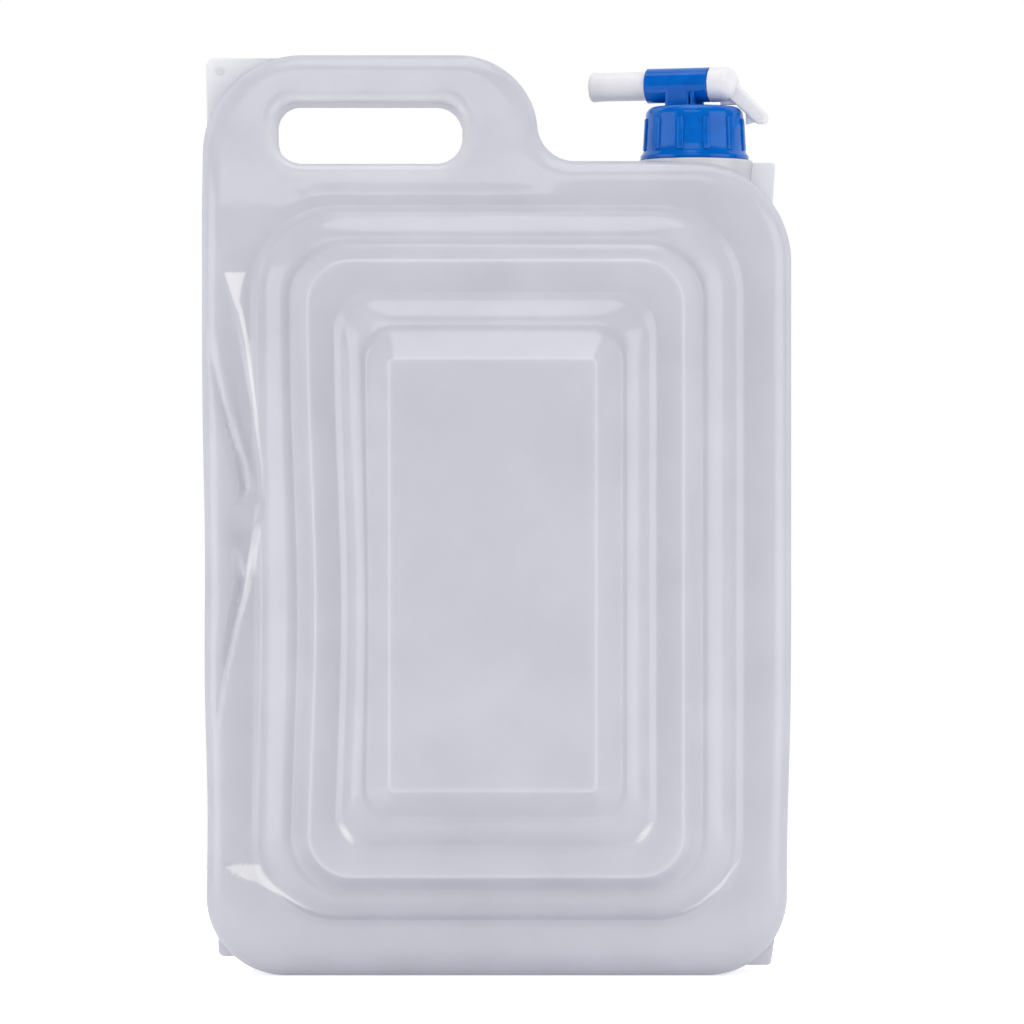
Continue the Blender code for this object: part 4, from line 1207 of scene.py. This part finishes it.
cap = joined("cap_moulding", blue, over_neck(spun(cap_section(), 128, closed=False)), changes)
cap_thread = over_neck(thread_rib(CAP_BORE, -THREAD_HEIGHT, 432.5))
cap_thread = finish_mesh(cap_thread, "cap_thread", blue, 40.0)
for piece in (cap, cap_thread):
    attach(piece, "cap")
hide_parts("tap_cap")
print("cap faces:", len(cap.data.polygons))

# %% [markdown]
# ## The plug
# The spout, the part that turns inside the barrel, the round head and the lever are one white moulding too.
# The lever is a thin web with a thick rounded bar down its edge, which is where a finger pushes.

# %% Section of the plug, and a plate for the lever
HEAD_START, HEAD_END = BARREL_END + 0.3, 23.6
SPOUT_TIP = BARREL_START - 31.1


def plug_section():
    """Half of the plug's section: the spout's bore, its rolled lip, the tube, the rotor and the round head."""
    hole_end = STEM_AT + STEM_HOLE + 1.5
    section = [(0, hole_end), (5.2, hole_end), (5.2, SPOUT_TIP + 0.8), (5.7, SPOUT_TIP + 0.1)]
    for angle in np.radians(np.linspace(0, 90, 5)):
        section.append((6.2 + 1.8 * math.sin(angle), SPOUT_TIP + 1.8 - 1.8 * math.cos(angle)))
    section += [(7.6, SPOUT_TIP + 5.0), (7.6, BARREL_START - 0.3), (7.8, BARREL_START), (7.8, HEAD_START)]
    section += [(8.8, HEAD_START), (9.2, HEAD_START + 0.4)]
    for angle in np.radians(np.linspace(0, 84, 8)):
        section.append((2.2 + 7.0 * math.cos(angle), HEAD_END - 7.0 + 7.0 * math.sin(angle)))
    return section + [(0, HEAD_END)]


def lever_plate(outline, thickness, bevel):
    """A plate in the barrel's own upright plane, from pairs of distance along it and height over its axis."""
    bm = bmesh.new()
    add_plate(bm, outline, thickness, bevel, 3)
    return in_tap_frame(bm, AXIS_HEIGHT)


# %% Spout, rotor, head and lever
HEAD_MIDDLE = 16.45
WEB_OUTLINE = [(HEAD_MIDDLE - 2.1, -4.6), (HEAD_MIDDLE - 2.1, -10.9), (28.2, -10.9), (28.2, -21.5), (32.5, -20.4)]
WEB_OUTLINE += [(37.5, -21.3), (37.5, -16.9), (HEAD_MIDDLE + 5.5, -4.6)]
BAR_OUTLINE = [(-0.4, -4.6), (18.1, -21.3), (21.6, -21.5), (23.0, -20.4), (23.3, -18.4), (23.1, -16.4), (5.9, 1.4)]
web = lever_plate(WEB_OUTLINE, 2.4, 0.4)
bar = lever_plate([(HEAD_MIDDLE + along, up) for along, up in BAR_OUTLINE], 7.0, 1.3)
port_middle = (STEM_AT, 0, AXIS_HEIGHT - 7.0)
side_port = in_tap_frame(block((PORT_SIZE, PORT_SIZE, 14.0), port_middle, PORT_BEVEL, 6, upright=True))
changes = [("UNION", web), ("UNION", bar), ("DIFFERENCE", side_port)]
plug = joined("plug_moulding", white, along_barrel(plug_section()), changes)
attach(plug, "tap")
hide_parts("tap_plug")
print("plug faces:", len(plug.data.polygons))

# %% [markdown]
# ## Studio
# The photograph was taken from far away with a long lens, level with the middle of the bottle. The floor is
# pale, and looks white to the camera, but it still takes the bottle's soft shadow. Large soft lights stand in
# front, above and to the sides. A white room would lay a pale veil of reflection over every flat face, so a
# dark tent stands round the front, which nothing but a reflection sees.

# %% Floor and world


def seen_directly(tree):
    """One for rays from the camera, in a reflection or through a clear piece, none for the light on things."""
    path = add_node(tree, "ShaderNodeLightPath")
    seen = path.outputs["Is Camera Ray"]
    for other in ("Is Glossy Ray", "Is Transmission Ray"):
        most = add_node(tree, "ShaderNodeMath", {0: seen, 1: path.outputs[other]}, operation="MAXIMUM")
        seen = most.outputs["Value"]
    return seen


def studio_floor():
    """A pale paper floor that looks white and takes a shadow."""
    bm = bmesh.new()
    bmesh.ops.create_grid(bm, x_segments=4, y_segments=4, size=0.8)
    material, tree = new_material("pale_floor")
    paper = add_node(tree, "ShaderNodeBsdfDiffuse", Color=linear("#FAFAFA")).outputs[0]
    lift = add_node(tree, "ShaderNodeEmission", Color=(1, 1, 1, 1), Strength=0.55).outputs[0]
    both = add_node(tree, "ShaderNodeAddShader", {0: paper, 1: lift}).outputs[0]
    mix = add_node(tree, "ShaderNodeMixShader", {"Fac": seen_directly(tree), 1: paper, 2: both})
    add_node(tree, "ShaderNodeOutputMaterial", {"Surface": mix.outputs["Shader"]})
    floor = as_object(bm, "floor", material)


def studio_world(strength):
    """A room that looks white, and lights the object with a given strength."""
    world = bpy.data.worlds.new("studio")
    world.use_nodes = True
    tree = world.node_tree
    tree.nodes.clear()
    room = add_node(tree, "ShaderNodeBackground", Color=(1, 1, 1, 1), Strength=strength).outputs[0]
    wall = add_node(tree, "ShaderNodeBackground", Color=(1, 1, 1, 1), Strength=1.0).outputs[0]
    mix = add_node(tree, "ShaderNodeMixShader", {"Fac": seen_directly(tree), 1: room, 2: wall})
    add_node(tree, "ShaderNodeOutputWorld", {"Surface": mix.outputs["Shader"]})
    bpy.context.scene.world = world


# %% Dark tent and soft lights


def dark_tent():
    """A dark tent round the front that only reflections see, so that flat gloss stays clear of a white veil."""
    bm = bmesh.new()
    place = Matrix.Translation((0.0, 0.0, 0.3))
    bmesh.ops.create_uvsphere(bm, u_segments=32, v_segments=16, radius=3.6, matrix=place)
    open_side = [f for f in bm.faces if f.calc_center_median().y > 0.7 or f.calc_center_median().z < 0.0]
    bmesh.ops.delete(bm, geom=open_side, context="FACES")
    material, tree = new_material("black_velvet")
    cloth = add_node(tree, "ShaderNodeBsdfDiffuse", Color=linear("#141414"))
    add_node(tree, "ShaderNodeOutputMaterial", {"Surface": cloth.outputs[0]})
    tent = as_object(bm, "tent", material)
    tent.visible_camera = tent.visible_diffuse = tent.visible_shadow = tent.visible_transmission = False


def soft_light(name, place, target, width, height, power):
    """A rectangular soft light, in metres and watts, that faces its target."""
    light = bpy.data.lights.new(name, "AREA")
    light.shape = "RECTANGLE"
    light.size, light.size_y, light.energy = width, height, power
    lamp = bpy.data.objects.new(name, light)
    lamp.location = place
    lamp.rotation_euler = (Vector(target) - Vector(place)).to_track_quat("-Z", "Y").to_euler()
    bpy.context.collection.objects.link(lamp)


# %% Set up the studio and the camera
studio_floor()
studio_world(0.70)
dark_tent()
soft_light("key", (-0.3, -2.6, 2.0), (0, 0, 0.25), 1.8, 1.2, 11.0)
soft_light("top", (0.1, -0.1, 1.9), (0, 0, 0.2), 1.2, 0.9, 7.0)
soft_light("right", (1.45, -0.95, 0.3), (0, 0, 0.25), 1.3, 1.8, 13.0)
soft_light("left", (-1.7, -0.7, 0.3), (0, 0, 0.25), 1.4, 1.8, 14.0)

camera = bpy.data.objects.new("camera", bpy.data.cameras.new("camera"))
camera.location = (0.0081, -2.8, 0.2433)
camera.rotation_euler = (math.radians(90), 0, 0)
camera.data.lens, camera.data.sensor_width = 186.0, 36.0
bpy.context.collection.objects.link(camera)
bpy.context.scene.camera = camera
bpy.context.scene.view_settings.view_transform = "Standard"
print("lights:", len(bpy.data.lights), "camera's lens:", camera.data.lens, "mm")
